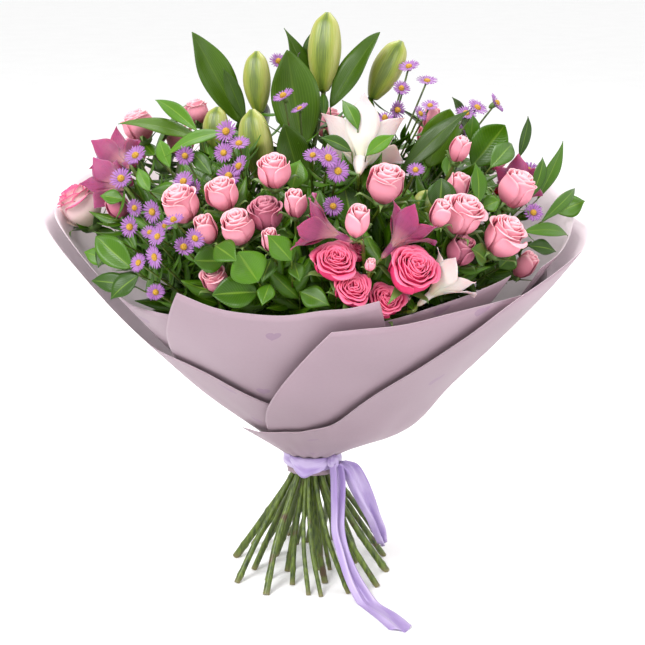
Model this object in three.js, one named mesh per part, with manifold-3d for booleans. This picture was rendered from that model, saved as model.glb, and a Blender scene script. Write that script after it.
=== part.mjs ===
// A hand-tied mixed bouquet that stands on its cut stem ends: spray roses, lilies, alstroemeria
// and asters in a dome of foliage, wrapped in seven sheets of paper and tied with a satin ribbon.
// Millimetres, +Z up. The origin is on the surface it stands on, below the middle of the whole
// bouquet; up to the last section, where it is moved there, below the middle of its tie.
import * as THREE from "three";
import { mergeVertices } from "three/addons/utils/BufferGeometryUtils.js";
import Module from "manifold-3d";

const wasm = await Module();
wasm.setup();
const { Manifold, Mesh: SolidMesh } = wasm;
const { Vector2, Vector3, Matrix4, MathUtils } = THREE;
const UP = new Vector3(0, 0, 1);

// ---- driving dimensions -----------------------------------------------------------------------

const CLEARANCE = 0.35; // left between pieces that touch on the real bouquet

const TIE_HEIGHT = 112; // the narrowest place of the bundle
const ORIGIN = { x: 3.7, y: 1.4 }; // the middle of the whole bouquet, from the middle of its tie
const WAIST_RADIUS = 15.8; // of the stem centres at the tie
const FOOT_RADIUS = 92; // of the stem centres where they stand
const HEAD_SWELL = 0.036; // how fast the bundle opens above the tie, per mm
const SPIRAL_TURN = MathUtils.degToRad(20); // of the bundle between the tie and the foot
const STEM_GAP = 0.5; // between neighbouring stems at the tie
const FURROW_GAP = 0.04; // where a ridge lies in a furrow, measured between the rounds they stand for
const TWIN_OVERLAP = 1.7; // how deep the two stems of one bunch sink into each other at the tie
const WAIST_BORDER = 2.6; // how far the outermost stems reach past the waist radius

const DOME = { x: 240, y: 180, z: 150, height: 300 }; // half sizes of the flower dome, and its centre
const HEART = new Vector3(0, 0, 180); // the point that the blooms face away from
const JUNCTION_SHARE = 0.62; // of the way from the heart to its blooms, where a stem branches

const PAPER_THICKNESS = 0.6;
const PAPER = { x: 226.5, y: 190, tie: 20.6, base: 121, rim: 347, rimTilt: 33 };
const PAPER_STEP = 1.3; // between two sheets at the tie
const PAPER_SPREAD = 4.2; // how much further apart they stand at the rim
const PAPER_SLOPE = 0.87; // share of the climb that is straight; the rest turns up towards the rim
const PAPER_TURN_UP = 4; // how late it turns up
const HUMP = { height: 1.4, share: 0.28, spread: 0.165 }; // where a bulging sheet stands out most
const HUMP_REST = { height: 0.1, from: 0.1, to: 0.5 }; // and what it keeps of that up to its rim
const COLLAR = 0.11; // share of a sheet's height that hangs below the tie
const COLLAR_DROP = 20;
const COLLAR_FLARE = 0.4;

const RIBBON_THICKNESS = 0.9;
const RIBBON_RADIUS = 27.6; // inside, round the gathered paper
const RIBBON_LOW = 106;
const RIBBON_HIGH = 120;

// The view in which each bloom was placed: a long lens, looking 16 degrees down at the bouquet.
const VIEW = {
  centre: 322.5,
  focal: 1523,
  pitch: MathUtils.degToRad(16),
  distance: 1424,
  aim: new Vector3(9.8, 0, 244),
};

// ---- placing things by where they are seen ----------------------------------------------------

const viewForward = new Vector3(0, Math.cos(VIEW.pitch), -Math.sin(VIEW.pitch));
const viewUp = new Vector3(0, Math.sin(VIEW.pitch), Math.cos(VIEW.pitch));
const viewEye = VIEW.aim.clone().addScaledVector(viewForward, -VIEW.distance);

function sightLine([px, py]) {
  return viewForward
    .clone()
    .addScaledVector(new Vector3(1, 0, 0), (px - VIEW.centre) / VIEW.focal)
    .addScaledVector(viewUp, (VIEW.centre - py) / VIEW.focal);
}

// The point of the dome, swelled by lift, that is seen at a pixel. A sight line that passes over
// the dome gives its point nearest to it.
function onDome(pixel, lift = 0) {
  const squash = new Vector3(1 / (DOME.x + lift), 1 / (DOME.y + lift), 1 / (DOME.z + lift));
  const line = sightLine(pixel);
  const start = viewEye.clone().sub(new Vector3(0, 0, DOME.height)).multiply(squash);
  const step = line.clone().multiply(squash);
  const a = step.lengthSq();
  const b = start.dot(step);
  const under = Math.max(0, b * b - a * (start.lengthSq() - 1));
  return viewEye.clone().addScaledVector(line, (-b - Math.sqrt(under)) / a);
}

function atDepth(pixel, y) {
  const line = sightLine(pixel);
  return viewEye.clone().addScaledVector(line, (y - viewEye.y) / line.y);
}

// The point of the dome at a spot [turn, rise], in degrees round from +X and up; turn 90 is the back.
function onDomeSpot([turn, rise], lift = 0) {
  const [a, b] = [MathUtils.degToRad(turn), MathUtils.degToRad(rise)];
  return new Vector3(
    (DOME.x + lift) * Math.cos(a) * Math.cos(b),
    (DOME.y + lift) * Math.sin(a) * Math.cos(b),
    DOME.height + (DOME.z + lift) * Math.sin(b),
  );
}

function place({ at, spot, lift = 0, depth }) {
  if (spot) return onDomeSpot(spot, lift);
  return depth === undefined ? onDome(at, lift) : atDepth(at, depth);
}

// ---- closed solids ----------------------------------------------------------------------------

function toSolid(geometry, nearest = 1e-4) {
  const bare = new THREE.BufferGeometry();
  bare.setAttribute("position", geometry.getAttribute("position"));
  bare.setIndex(geometry.index);
  const merged = mergeVertices(bare, nearest);
  const corners = merged.index.array;
  const kept = [];
  for (let i = 0; i < corners.length; i += 3) {
    const [a, b, c] = [corners[i], corners[i + 1], corners[i + 2]];
    if (a !== b && b !== c && c !== a) kept.push(a, b, c);
  }
  const vertProperties = merged.attributes.position.array;
  const solidOf = (order) =>
    new Manifold(new SolidMesh({ numProp: 3, vertProperties, triVerts: new Uint32Array(order) }));
  const made = solidOf(kept);
  return made.volume() < 0 ? solidOf(kept.toReversed()) : made;
}

function fuse(solids) {
  return Manifold.union(solids);
}

function fromSolid(solid) {
  const mesh = solid.getMesh();
  const geometry = new THREE.BufferGeometry();
  geometry.setAttribute("position", new THREE.BufferAttribute(mesh.vertProperties, 3));
  geometry.setIndex(new THREE.BufferAttribute(mesh.triVerts, 1));
  geometry.computeVertexNormals();
  return geometry;
}

// The body that holds most of a solid: what a cut leaves loose is dropped.
function mainBody(solid) {
  const bodies = solid.decompose();
  return bodies.reduce((best, body) => (body.volume() > best.volume() ? body : best));
}

// A closed surface through rings of points. Neighbouring rings may differ in their number of points,
// and a ring of one point closes the surface to a tip.
function loft(rings) {
  const points = rings.flat();
  const triangles = [];
  let low = 0;
  for (let k = 1; k + 1 < rings[0].length; k++) triangles.push(0, k + 1, k);
  for (let i = 0; i + 1 < rings.length; i++) {
    const [a, b] = [rings[i].length, rings[i + 1].length];
    const high = low + a;
    const [turnsLow, turnsHigh] = [a > 1 ? a : 0, b > 1 ? b : 0];
    let [m, n] = [0, 0];
    while (m < turnsLow || n < turnsHigh) {
      const here = [low + (m % a), high + (n % b)];
      if (n >= turnsHigh || (m < turnsLow && (m + 1) / a <= (n + 1) / b)) {
        m += 1;
        triangles.push(here[0], low + (m % a), here[1]);
      } else {
        n += 1;
        triangles.push(here[0], high + (n % b), here[1]);
      }
    }
    low = high;
  }
  const last = rings.at(-1).length;
  for (let k = 1; k + 1 < last; k++) triangles.push(low, low + k, low + k + 1);
  const geometry = new THREE.BufferGeometry().setFromPoints(points);
  geometry.setIndex(triangles);
  return toSolid(geometry);
}

// A frame at a point: an axis, the way nearest to hint that is square to it, and a third across.
function frameAt(at, axis, hint) {
  const along = axis.clone().normalize();
  const side = hint.clone().addScaledVector(along, -hint.dot(along)).normalize();
  return { at, axis: along, side, across: along.clone().cross(side) };
}

const STANDARD = frameAt(new Vector3(), UP, new Vector3(1, 0, 0));

function inFrame({ at, axis, side, across }, x, y, z) {
  return at.clone().addScaledVector(side, x).addScaledVector(across, y).addScaledVector(axis, z);
}

// A ring { r, z, lobe, wave, phase } round a frame's axis, where the radius swells by lobe and the
// height by wave, lobes times round. A ring without radius is a tip.
function lobedRing({ r, z, lobe = 0, wave = 0, phase = 0 }, sides, lobes, frame) {
  if (!r) return [inFrame(frame, 0, 0, z)];
  return Array.from({ length: sides }, (_, i) => {
    const angle = (2 * Math.PI * i) / sides;
    const swing = Math.cos(lobes * angle + phase * Math.PI);
    const reach = r * (1 + lobe * swing);
    return inFrame(frame, reach * Math.cos(angle), reach * Math.sin(angle), z + wave * swing);
  });
}

function lobedForm(rings, sides, lobes, frame) {
  return rings.map((ring) => lobedRing(ring, sides, lobes, frame));
}

// Rings along a path of points, each square to it. The last one is square to the facing, and its
// first point lies towards the hint.
function pathRings(path, radius, sides, facing, hint) {
  const ways = path.slice(1).map((point, i) => point.clone().sub(path[i]).normalize());
  const rings = [];
  let side = hint;
  for (let i = path.length - 1; i >= 0; i--) {
    const after = ways[i] ?? facing;
    const axis = i > 0 && i < ways.length ? ways[i - 1].clone().add(after) : after;
    const frame = frameAt(path[i], axis, side);
    side = frame.side;
    rings.unshift({ frame, points: lobedRing({ r: radius, z: 0 }, sides, 0, frame) });
  }
  return rings;
}

// A matrix that stands a form's +Z along a direction, turned by spin about it.
function standing(at, direction, spin = 0) {
  const turn = new THREE.Quaternion().setFromUnitVectors(UP, direction.clone().normalize());
  const own = new THREE.Quaternion().setFromAxisAngle(UP, spin);
  return new Matrix4().compose(at, turn.multiply(own), new Vector3(1, 1, 1));
}

// A ring of a blade, which is flat and lens-shaped in section, with its middle cupped towards its
// face.
function bladeRing({ at, side, face, half, cup, thick }) {
  return [
    at.clone().addScaledVector(side, -half),
    at.clone().addScaledVector(face, thick / 2 - cup),
    at.clone().addScaledVector(side, half),
    at.clone().addScaledVector(face, -thick / 2 - cup),
  ];
}

// ---- leaves and petals ------------------------------------------------------------------------

const LEAF_ROWS = [
  { t: 0.16, width: 0.56 },
  { t: 0.46, width: 1 },
  { t: 0.78, width: 0.66 },
];
const LEAF_THICKNESS = 1.3;
const LEAF_BOW = 0.1; // how far a leaf arches away from the heart, as a share of its length

// The way across a leaf, square to its length and to the face that it shows.
function leafSide(root, tip, along) {
  const out = root.clone().lerp(tip, 0.5).sub(HEART).normalize();
  const towardsEye = viewEye.clone().sub(root).normalize();
  return along.clone().cross(out.lerp(towardsEye, 0.4)).normalize();
}

// The rings of a leaf from its base to its tip, beginning square to the stalk that ends there.
function leafRings({ root, tip, width }, skin) {
  const length = root.distanceTo(tip);
  const middle = root.clone().lerp(tip, 0.5);
  const out = middle.clone().sub(HEART).normalize();
  const crown = middle.addScaledVector(out, 2 * LEAF_BOW * length);
  const spine = new THREE.QuadraticBezierCurve3(root, crown, tip);
  const rows = LEAF_ROWS.map(({ t, width: share }) => {
    const along = spine.getTangent(t);
    const side = leafSide(root, tip, along);
    return bladeRing({
      at: spine.getPoint(t),
      side,
      face: side.clone().cross(along),
      half: (width / 2) * share + skin,
      cup: width * 0.1 * share,
      thick: LEAF_THICKNESS + 2 * skin,
    });
  });
  return [...rows, [tip.clone().addScaledVector(spine.getTangent(1), skin)]];
}

// One petal of a trumpet-shaped bloom. The bloom's axis is +Z; the petal leans out to flare.
function trumpetPetal({ length, flare, width, curl }, angle, skin) {
  const out = new Vector3(Math.cos(angle), Math.sin(angle), 0);
  const side = new Vector3(-Math.sin(angle), Math.cos(angle), 0);
  const spine = new THREE.CubicBezierCurve3(
    out.clone(),
    out.clone().multiplyScalar(flare * 0.12).setZ(length * 0.45),
    out.clone().multiplyScalar(flare * 0.55).setZ(length * 0.85),
    out.clone().multiplyScalar(flare).setZ(length * (1 - curl)),
  );
  const rows = [0.3, 0.6, 0.85].map((t, i) => {
    const along = spine.getTangent(t);
    return bladeRing({
      at: spine.getPoint(t),
      side,
      face: side.clone().cross(along).normalize(),
      half: width * [0.14, 0.46, 0.4][i] + skin,
      cup: -width * 0.08,
      thick: 1.4 + 2 * skin,
    });
  });
  const tip = spine.getPoint(1).addScaledVector(out, skin);
  return loft([[spine.getPoint(0).setZ(-skin)], ...rows, [tip]]);
}

function trumpet(shape, skin) {
  const petals = [];
  for (let i = 0; i < 6; i++) {
    const inner = i % 2 === 1;
    const petal = inner ? { ...shape, width: shape.width * 0.72 } : shape;
    petals.push(trumpetPetal(petal, (i * Math.PI) / 3, skin));
  }
  const rings = [
    { r: 0, z: -shape.neck - skin },
    { r: 2.6 + skin, z: -shape.neck * 0.6 },
    { r: 0.09 * shape.length + skin, z: shape.length * 0.3 },
    { r: 0, z: shape.length * 0.4 + skin },
  ];
  return fuse([...petals, loft(lobedForm(rings, 6, 3, STANDARD))]);
}

// ---- roses ------------------------------------------------------------------------------------

// A rose head of layered petals, as rims and furrows that alternate round an open cup.
function roseRings(width, frame) {
  const r = width / 2;
  const h = width * 0.8;
  const rings = [
    { r: 0, z: -0.5 * h },
    { r: 0.5 * r, z: -0.4 * h, lobe: 0.05 },
    { r: 0.9 * r, z: 0, lobe: 0.06 },
    { r: r, z: 0.26 * h, lobe: 0.09, wave: 0.02 * h },
    { r: 0.74 * r, z: 0.2 * h, lobe: 0.04, phase: 1 },
    { r: 0.62 * r, z: 0.46 * h, lobe: 0.12, wave: 0.03 * h, phase: 1 },
    { r: 0.36 * r, z: 0.34 * h, lobe: 0.12 },
    { r: 0, z: 0.5 * h },
  ];
  return lobedForm(rings, 10, 5, frame);
}

const FULL_WIDTH = 28; // wider than this a rose is open, narrower a bud

// A bud: petals still wrapped round each other to a blunt point.
function budRings(width, frame) {
  const r = width / 2;
  const height = 1.2 * width;
  const rings = [
    { r: 0, z: -0.5 * height },
    { r: 0.62 * r, z: -0.36 * height },
    { r, z: -0.02 * height, lobe: 0.05 },
    { r: 0.66 * r, z: 0.34 * height, lobe: 0.1 },
    { r: 0, z: 0.5 * height },
  ];
  return lobedForm(rings, 6, 3, frame);
}

// Light and hot pink spray roses. Widths are those of the heads; each is seen at a pixel.
const ROSE_HEADS = {
  rose_01: { at: [82, 208], width: 46, colour: "pale", lift: -12 },
  rose_02: { at: [119, 207], width: 25, colour: "dusky", lift: -14 },
  rose_03: { at: [139, 127], width: 34, colour: "light" },
  rose_04: { at: [197, 113], width: 27, colour: "light" },
  rose_05: { at: [181, 206], width: 37, colour: "light" },
  rose_06: { at: [223, 196], width: 33, colour: "light" },
  rose_07: { at: [215, 280], width: 27, colour: "light", lift: -14 },
  rose_08: { at: [238, 229], width: 34, colour: "light" },
  rose_09: { at: [266, 216], width: 34, colour: "dusky", lift: -14 },
  rose_10: { at: [274, 173], width: 33, colour: "light", lift: 6 },
  rose_11: { at: [385, 186], width: 38, colour: "light" },
  rose_12: { at: [335, 264], width: 38, colour: "hot" },
  rose_13: { at: [357, 250], width: 27, colour: "hot", lift: -18 },
  rose_14: { at: [352, 291], width: 32, colour: "hot" },
  rose_15: { at: [384, 302], width: 33, colour: "hot", lift: -11 },
  rose_16: { at: [411, 273], width: 46, colour: "hot" },
  rose_17: { at: [462, 217], width: 40, colour: "light" },
  rose_18: { at: [460, 252], width: 30, colour: "dusky", lift: -14 },
  rose_19: { at: [503, 238], width: 41, colour: "light" },
  rose_20: { at: [515, 191], width: 38, colour: "light" },
};

// ---- alstroemeria and the open lily -----------------------------------------------------------

const ALSTROEMERIA = { length: 40, flare: 26, width: 21, curl: 0.08, neck: 8 };
const OPEN_LILY = { length: 78, flare: 42, width: 30, curl: 0.12, neck: 6 };
const TRUMPETS = {
  alstroemeria_1: { mouth: [317, 227], base: [345, 238], depth: -14, spin: 0.4 },
  alstroemeria_2: { mouth: [420, 215], base: [387, 252], depth: -2, spin: 0.2 },
  alstroemeria_3: { mouth: [101, 143], base: [128, 166], depth: 4, spin: 0 },
  alstroemeria_4: { mouth: [93, 176], base: [122, 188], depth: 4, spin: 0.5 },
  alstroemeria_5: { mouth: [524, 158], base: [514, 196], depth: 44, spin: 0.3 },
  alstroemeria_6: { mouth: [447, 280], base: [424, 300], depth: 6, spin: 0.1 },
  lily_open: { mouth: [366, 98], base: [359, 172], depth: 10, spin: 0.5, shape: OPEN_LILY },
};

// ---- asters -----------------------------------------------------------------------------------

const ASTER_WIDTH = 23;
const ASTER_RAYS = 7;
const ASTER_TURN = 0.9; // how much those in view turn towards it
const ASTER_DEPTH = 3.4; // from the end of the stalk to the rays

// A daisy-like head: rays round a raised disc, joined at their roots.
function asterRings(frame, skin) {
  const r = ASTER_WIDTH / 2 + skin;
  const rings = [
    { r: 0.72 * r, z: 0, lobe: 0.38 },
    { r: 0, z: 2.6 + skin },
  ];
  return lobedForm(rings, 2 * ASTER_RAYS, ASTER_RAYS, frame);
}

// ---- lily buds --------------------------------------------------------------------------------

function lilyBudRings(length, width, frame, skin) {
  const r = width / 2 + skin;
  const rings = [
    { r: 0.4 * r, z: 0.05 * length },
    { r: 0.8 * r, z: 0.28 * length, lobe: 0.07 },
    { r: r, z: 0.55 * length, lobe: 0.1 },
    { r: 0.62 * r, z: 0.85 * length, lobe: 0.12 },
    { r: 0, z: length + skin },
  ];
  return lobedForm(rings, 6, 3, frame);
}

// Leaves at the back of the dome, one at each turn, that rise from the lower ring to the upper.
function backLeaves(turns, [low, high], width) {
  return turns.flatMap((turn) => [
    { tipSpot: [turn - 6, low - 16], baseSpot: [turn, low + 12], width, lift: 2 },
    { tipSpot: [turn + 8, high + 8], baseSpot: [turn + 4, high - 20], width, lift: 8 },
  ]);
}

// ---- the stems and what each carries ----------------------------------------------------------
// Each bunch is one node. It has one or two stems; a stem branches to its heads, buds and leaves.
// A leaf is [tip, base, width]; what stands above the dome has a depth of its own.

const BUNCHES = {
  lily_stem_1: {
    radius: 3.4,
    stems: [
      {
        lilyBuds: [
          { tip: [328, 11], base: [323, 92], width: 30, depth: 34 },
          { tip: [257, 50], base: [259, 113], width: 25, depth: 20 },
          { tip: [252, 108], base: [263, 181], width: 30, depth: -34 },
        ],
        leaves: [
          { tip: [287, 50], base: [303, 150], width: 44, depth: -4 },
          { tip: [322, 20], base: [303, 80], width: 17, depth: 48 },
          { tip: [284, 28], base: [318, 112], width: 20, depth: 40 },
          { tip: [284, 124], base: [304, 196], width: 30, depth: -52 },
        ],
      },
    ],
  },
  lily_stem_2: {
    radius: 3.4,
    stems: [
      {
        trumpets: ["lily_open"],
        lilyBuds: [
          { tip: [402, 40], base: [372, 99], width: 27, depth: 44 },
          { tip: [431, 190], base: [421, 218], width: 22, depth: -70 },
        ],
        leaves: [
          { tip: [380, 32], base: [330, 108], width: 25, depth: 24 },
          { tip: [452, 97], base: [468, 135], width: 16, depth: 40 },
          { tip: [450, 109], base: [428, 168], width: 34, depth: -20 },
          { tip: [470, 110], base: [398, 176], width: 20, depth: -40 },
        ],
      },
    ],
  },
  lily_stem_3: {
    radius: 3.2,
    corner: new Vector3(1, 1, 0), // a ridge of this stem lies in the furrow between two others
    stems: [
      {
        lilyBuds: [{ tip: [218, 106], base: [215, 152], width: 23, depth: -2 }],
        leaves: [
          { tip: [192, 32], base: [241, 124], width: 32, depth: 30 },
          { tip: [223, 68], base: [246, 124], width: 15, depth: 16 },
          { tip: [118, 124], base: [206, 141], width: 17, depth: -10 },
        ],
      },
    ],
  },
  rose_stem_1: {
    radius: 2.6,
    stems: [
      {
        heads: ["rose_01", "rose_02"],
        leaves: [
          { tip: [96, 236], base: [131, 268], width: 24, lift: -4 },
          { tip: [91, 281], base: [136, 287], width: 18, lift: -6 },
        ],
      },
    ],
  },
  rose_stem_2: {
    radius: 2.5,
    stems: [
      {
        heads: ["rose_03", "rose_04"],
        buds: [{ spot: [138, 44], width: 34, lift: -2 }],
        leaves: [
          { tip: [155, 100], base: [198, 132], width: 15, lift: 2 },
          { tip: [165, 157], base: [228, 132], width: 15, lift: 6 },
          { tip: [138, 168], base: [150, 192], width: 12, lift: 4 },
        ],
      },
    ],
  },
  rose_stem_3: {
    radius: 2.6,
    stems: [
      {
        heads: ["rose_05", "rose_06", "rose_07"],
        buds: [
          { at: [206, 231], width: 24, lift: -4 },
          { spot: [168, 44], width: 32, lift: -2 },
        ],
        leaves: [{ tip: [238, 262], base: [216, 246], width: 22, lift: 4 }],
      },
    ],
  },
  rose_stem_4: {
    radius: 2.7,
    stems: [
      {
        heads: ["rose_08", "rose_09", "rose_10"],
        buds: [
          { at: [295, 205], width: 23, lift: 8 },
          { at: [271, 242], width: 20, lift: 6 },
        ],
        leaves: [{ tip: [262, 283], base: [272, 258], width: 15, lift: -4 }],
      },
    ],
  },
  rose_stem_5: {
    radius: 2.6,
    stems: [
      {
        heads: ["rose_11"],
        buds: [
          { at: [357, 225], width: 26, lift: 2 },
          { at: [431, 119], width: 20, lift: -6 },
          { spot: [84, 52], width: 34, lift: -2 },
        ],
        leaves: [
          { tip: [320, 138], base: [352, 152], width: 14, lift: 6 },
          { tip: [395, 135], base: [366, 156], width: 14, lift: 6 },
          { tip: [342, 100], base: [358, 130], width: 14, lift: 10 },
        ],
      },
    ],
  },
  rose_stem_6: {
    radius: 2.6,
    stems: [
      {
        heads: ["rose_12", "rose_13", "rose_14"],
        buds: [{ at: [370, 266], width: 11, lift: 4 }],
        leaves: [
          { tip: [310, 268], base: [322, 282], width: 14, lift: 4 },
          { tip: [330, 288], base: [336, 300], width: 12, lift: -6 },
        ],
      },
    ],
  },
  rose_stem_7: {
    radius: 2.6,
    stems: [
      {
        heads: ["rose_15", "rose_16"],
        buds: [{ at: [405, 300], width: 12, lift: -6 }],
        leaves: [{ tip: [388, 248], base: [384, 270], width: 14, lift: 2 }],
      },
    ],
  },
  rose_stem_8: {
    radius: 2.6,
    stems: [
      {
        heads: ["rose_17", "rose_18"],
        buds: [
          { at: [457, 190], width: 26, lift: -16 },
          { at: [437, 217], width: 22, lift: -8 },
          { at: [459, 151], width: 22, lift: 0 },
          { spot: [46, 46], width: 34, lift: -2 },
        ],
        leaves: [
          { tip: [475, 163], base: [478, 205], width: 15, lift: 8 },
          { tip: [469, 250], base: [484, 262], width: 20, lift: -8 },
        ],
      },
    ],
  },
  rose_stem_9: {
    radius: 2.6,
    stems: [
      {
        heads: ["rose_19", "rose_20"],
        buds: [
          { at: [525, 266], width: 24, lift: -16 },
          { spot: [20, 40], width: 32, lift: -2 },
        ],
        leaves: [
          { tip: [516, 252], base: [500, 268], width: 20, lift: -8 },
          { tip: [541, 158], base: [530, 198], width: 13, lift: -4 },
        ],
      },
    ],
  },
  alstroemeria_stem_1: {
    radius: 3,
    stems: [{ trumpets: ["alstroemeria_1", "alstroemeria_2", "alstroemeria_6"] }],
  },
  alstroemeria_stem_2: {
    radius: 2.8,
    stems: [
      {
        trumpets: ["alstroemeria_3", "alstroemeria_4"],
        leaves: [{ tip: [98, 268], base: [118, 240], width: 22, lift: -10 }],
      },
    ],
  },
  alstroemeria_stem_3: {
    radius: 2.8,
    stems: [
      {
        trumpets: ["alstroemeria_5"],
        leaves: [{ tip: [585, 201], base: [556, 213], width: 22, lift: -2 }],
      },
    ],
  },
  aster_spray_1: {
    radius: 1.9,
    stems: [
      {
        asters: [
          { at: [284, 97], depth: -30 },
          { at: [300, 109], depth: -36 },
          { at: [278, 62], depth: 44 },
          { at: [293, 56], depth: 50 },
          { at: [313, 156], lift: 6 },
          { at: [328, 158], lift: 12 },
          { at: [338, 171], lift: 4 },
        ],
      },
      {
        asters: [
          { at: [227, 132], lift: 8 },
          { at: [239, 144], lift: 2 },
          { at: [224, 153], lift: 0 },
          { at: [240, 167], lift: -4 },
          { at: [228, 176], lift: 0 },
        ],
      },
    ],
  },
  aster_spray_2: {
    radius: 1.9,
    stems: [
      {
        asters: [
          { at: [409, 67], depth: 30 },
          { at: [427, 81], depth: 34 },
          { at: [430, 106], depth: 10 },
          { at: [401, 89], depth: 16 },
          { at: [396, 110], depth: 8 },
          { at: [385, 120], depth: 0 },
          { at: [420, 114], depth: 0 },
        ],
      },
      {
        asters: [
          { at: [495, 104], depth: 36 },
          { at: [477, 108], depth: 30 },
          { at: [466, 114], depth: 24 },
          { at: [415, 172], lift: 8 },
          { at: [333, 206], lift: 2 },
        ],
      },
    ],
  },
  aster_spray_3: {
    radius: 1.9,
    stems: [
      {
        asters: [
          { at: [183, 181], lift: 6 },
          { at: [194, 190], lift: -4 },
          { at: [185, 156], lift: 2 },
          { at: [176, 223], lift: 8 },
          { at: [164, 227], lift: 0 },
          { at: [183, 248], lift: 8 },
          { at: [196, 240], lift: 0 },
        ],
      },
      {
        asters: [
          { at: [134, 208], lift: 8 },
          { at: [152, 211], lift: 4 },
          { at: [131, 227], lift: 2 },
          { at: [150, 233], lift: 0 },
          { at: [139, 263], lift: 0 },
          { at: [155, 257], lift: 2 },
          { at: [156, 293], lift: -6 },
        ],
      },
    ],
  },
  aster_spray_4: {
    radius: 1.8,
    stems: [
      {
        asters: [
          { at: [103, 160], lift: 0 },
          { at: [125, 150], lift: 2 },
          { at: [137, 157], lift: 0 },
          { at: [124, 181], lift: -2 },
          { at: [160, 238], lift: -10 },
        ],
      },
    ],
  },
  aster_spray_5: {
    radius: 1.8,
    stems: [
      {
        asters: [
          { at: [533, 213], lift: 2 },
          { at: [528, 172], lift: -4 },
          { spot: [30, 48], lift: 4 },
          { spot: [40, 36], lift: 4 },
          { spot: [22, 30], lift: 4 },
        ],
      },
      {
        asters: [
          { spot: [66, 34], lift: 6 },
          { spot: [76, 42], lift: 2 },
          { spot: [58, 30], lift: 4 },
          { spot: [72, 24], lift: 4 },
        ],
      },
    ],
  },
  foliage_5: {
    radius: 2.2,
    stems: [
      { leaves: backLeaves([44, 62, 80], [22, 50], 26) },
      { leaves: backLeaves([102, 118, 134], [24, 50], 26) },
    ],
  },
  foliage_1: {
    radius: 2.2,
    stems: [
      {
        leaves: [
          { tip: [238, 252], base: [258, 282], width: 32, lift: 8 },
          { tip: [212, 295], base: [258, 292], width: 28, lift: 0 },
          { tip: [262, 306], base: [270, 284], width: 15, lift: 0 },
          { tip: [268, 236], base: [292, 262], width: 20, lift: 2 },
          { tip: [300, 282], base: [294, 262], width: 14, lift: 4 },
          { tip: [330, 306], base: [300, 292], width: 20, lift: -4 },
        ],
      },
    ],
  },
  foliage_2: {
    radius: 2.2,
    stems: [
      {
        leaves: [
          { tip: [100, 196], base: [124, 200], width: 14, lift: 2 },
          { tip: [84, 252], base: [112, 262], width: 16, lift: -10 },
          { tip: [112, 300], base: [140, 276], width: 20, lift: -8 },
          { tip: [160, 140], base: [170, 168], width: 14, lift: -4 },
          { tip: [140, 232], base: [172, 240], width: 26, lift: -24 },
          { tip: [150, 192], base: [182, 200], width: 24, lift: -22 },
        ],
      },
    ],
  },
  foliage_3: {
    radius: 2.2,
    stems: [
      {
        leaves: [
          { tip: [563, 141], base: [537, 200], width: 15, depth: 10 },
          { tip: [528, 116], base: [519, 158], width: 13, depth: 24 },
          { tip: [575, 188], base: [541, 222], width: 12, lift: 4 },
          { tip: [568, 236], base: [522, 232], width: 14, lift: -4 },
          { tip: [556, 252], base: [528, 246], width: 15, lift: -10 },
        ],
      },
      {
        leaves: [
          { tip: [505, 125], base: [472, 166], width: 34, depth: 4 },
          { tip: [472, 116], base: [469, 142], width: 16, depth: 20 },
          { tip: [512, 144], base: [490, 168], width: 20, lift: 0 },
          { tip: [500, 200], base: [482, 208], width: 16, lift: 2 },
          { tip: [484, 226], base: [462, 240], width: 24, lift: -22 },
          { tip: [440, 180], base: [438, 214], width: 26, lift: -22 },
        ],
      },
    ],
  },
  foliage_4: {
    radius: 2.2,
    stems: [
      {
        leaves: [
          { tip: [190, 150], base: [212, 176], width: 14, lift: -6 },
          { tip: [320, 190], base: [306, 232], width: 24, lift: -8 },
          { tip: [420, 232], base: [440, 246], width: 20, lift: -8 },
          { tip: [300, 160], base: [292, 190], width: 22, lift: -10 },
          { tip: [250, 196], base: [262, 234], width: 26, lift: -26 },
          { tip: [196, 262], base: [226, 262], width: 24, lift: -22 },
          { tip: [344, 186], base: [352, 224], width: 26, lift: -26 },
          { tip: [408, 186], base: [398, 226], width: 26, lift: -26 },
        ],
      },
    ],
  },
};

// ---- the bundle: every stem keeps its place in it ----------------------------------------------

const FOOT_SWELL = Math.sqrt((FOOT_RADIUS / WAIST_RADIUS) ** 2 - 1) / TIE_HEIGHT;

// Where a stem of the bundle is at a height. The bundle opens above and below the tie and turns
// steadily, so stems that are apart at the tie are apart everywhere.
function bundlePoint(slot, height) {
  const above = height - TIE_HEIGHT;
  const swell = Math.hypot(1, above * (above < 0 ? FOOT_SWELL : HEAD_SWELL));
  const turn = (-SPIRAL_TURN * above) / TIE_HEIGHT;
  return new Vector3(slot.x, slot.y, 0)
    .applyAxisAngle(UP, turn)
    .multiplyScalar(swell)
    .setZ(height);
}

// The place in the bundle of a stem that should reach a point.
function slotTowards(point) {
  const unit = bundlePoint(new Vector2(1, 0), point.z);
  const swell = Math.hypot(unit.x, unit.y);
  const turn = -Math.atan2(unit.y, unit.x);
  const slot = new Vector3(point.x, point.y, 0).applyAxisAngle(UP, turn).divideScalar(swell);
  return new Vector2(slot.x, slot.y).clampLength(0, WAIST_RADIUS);
}

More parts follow.
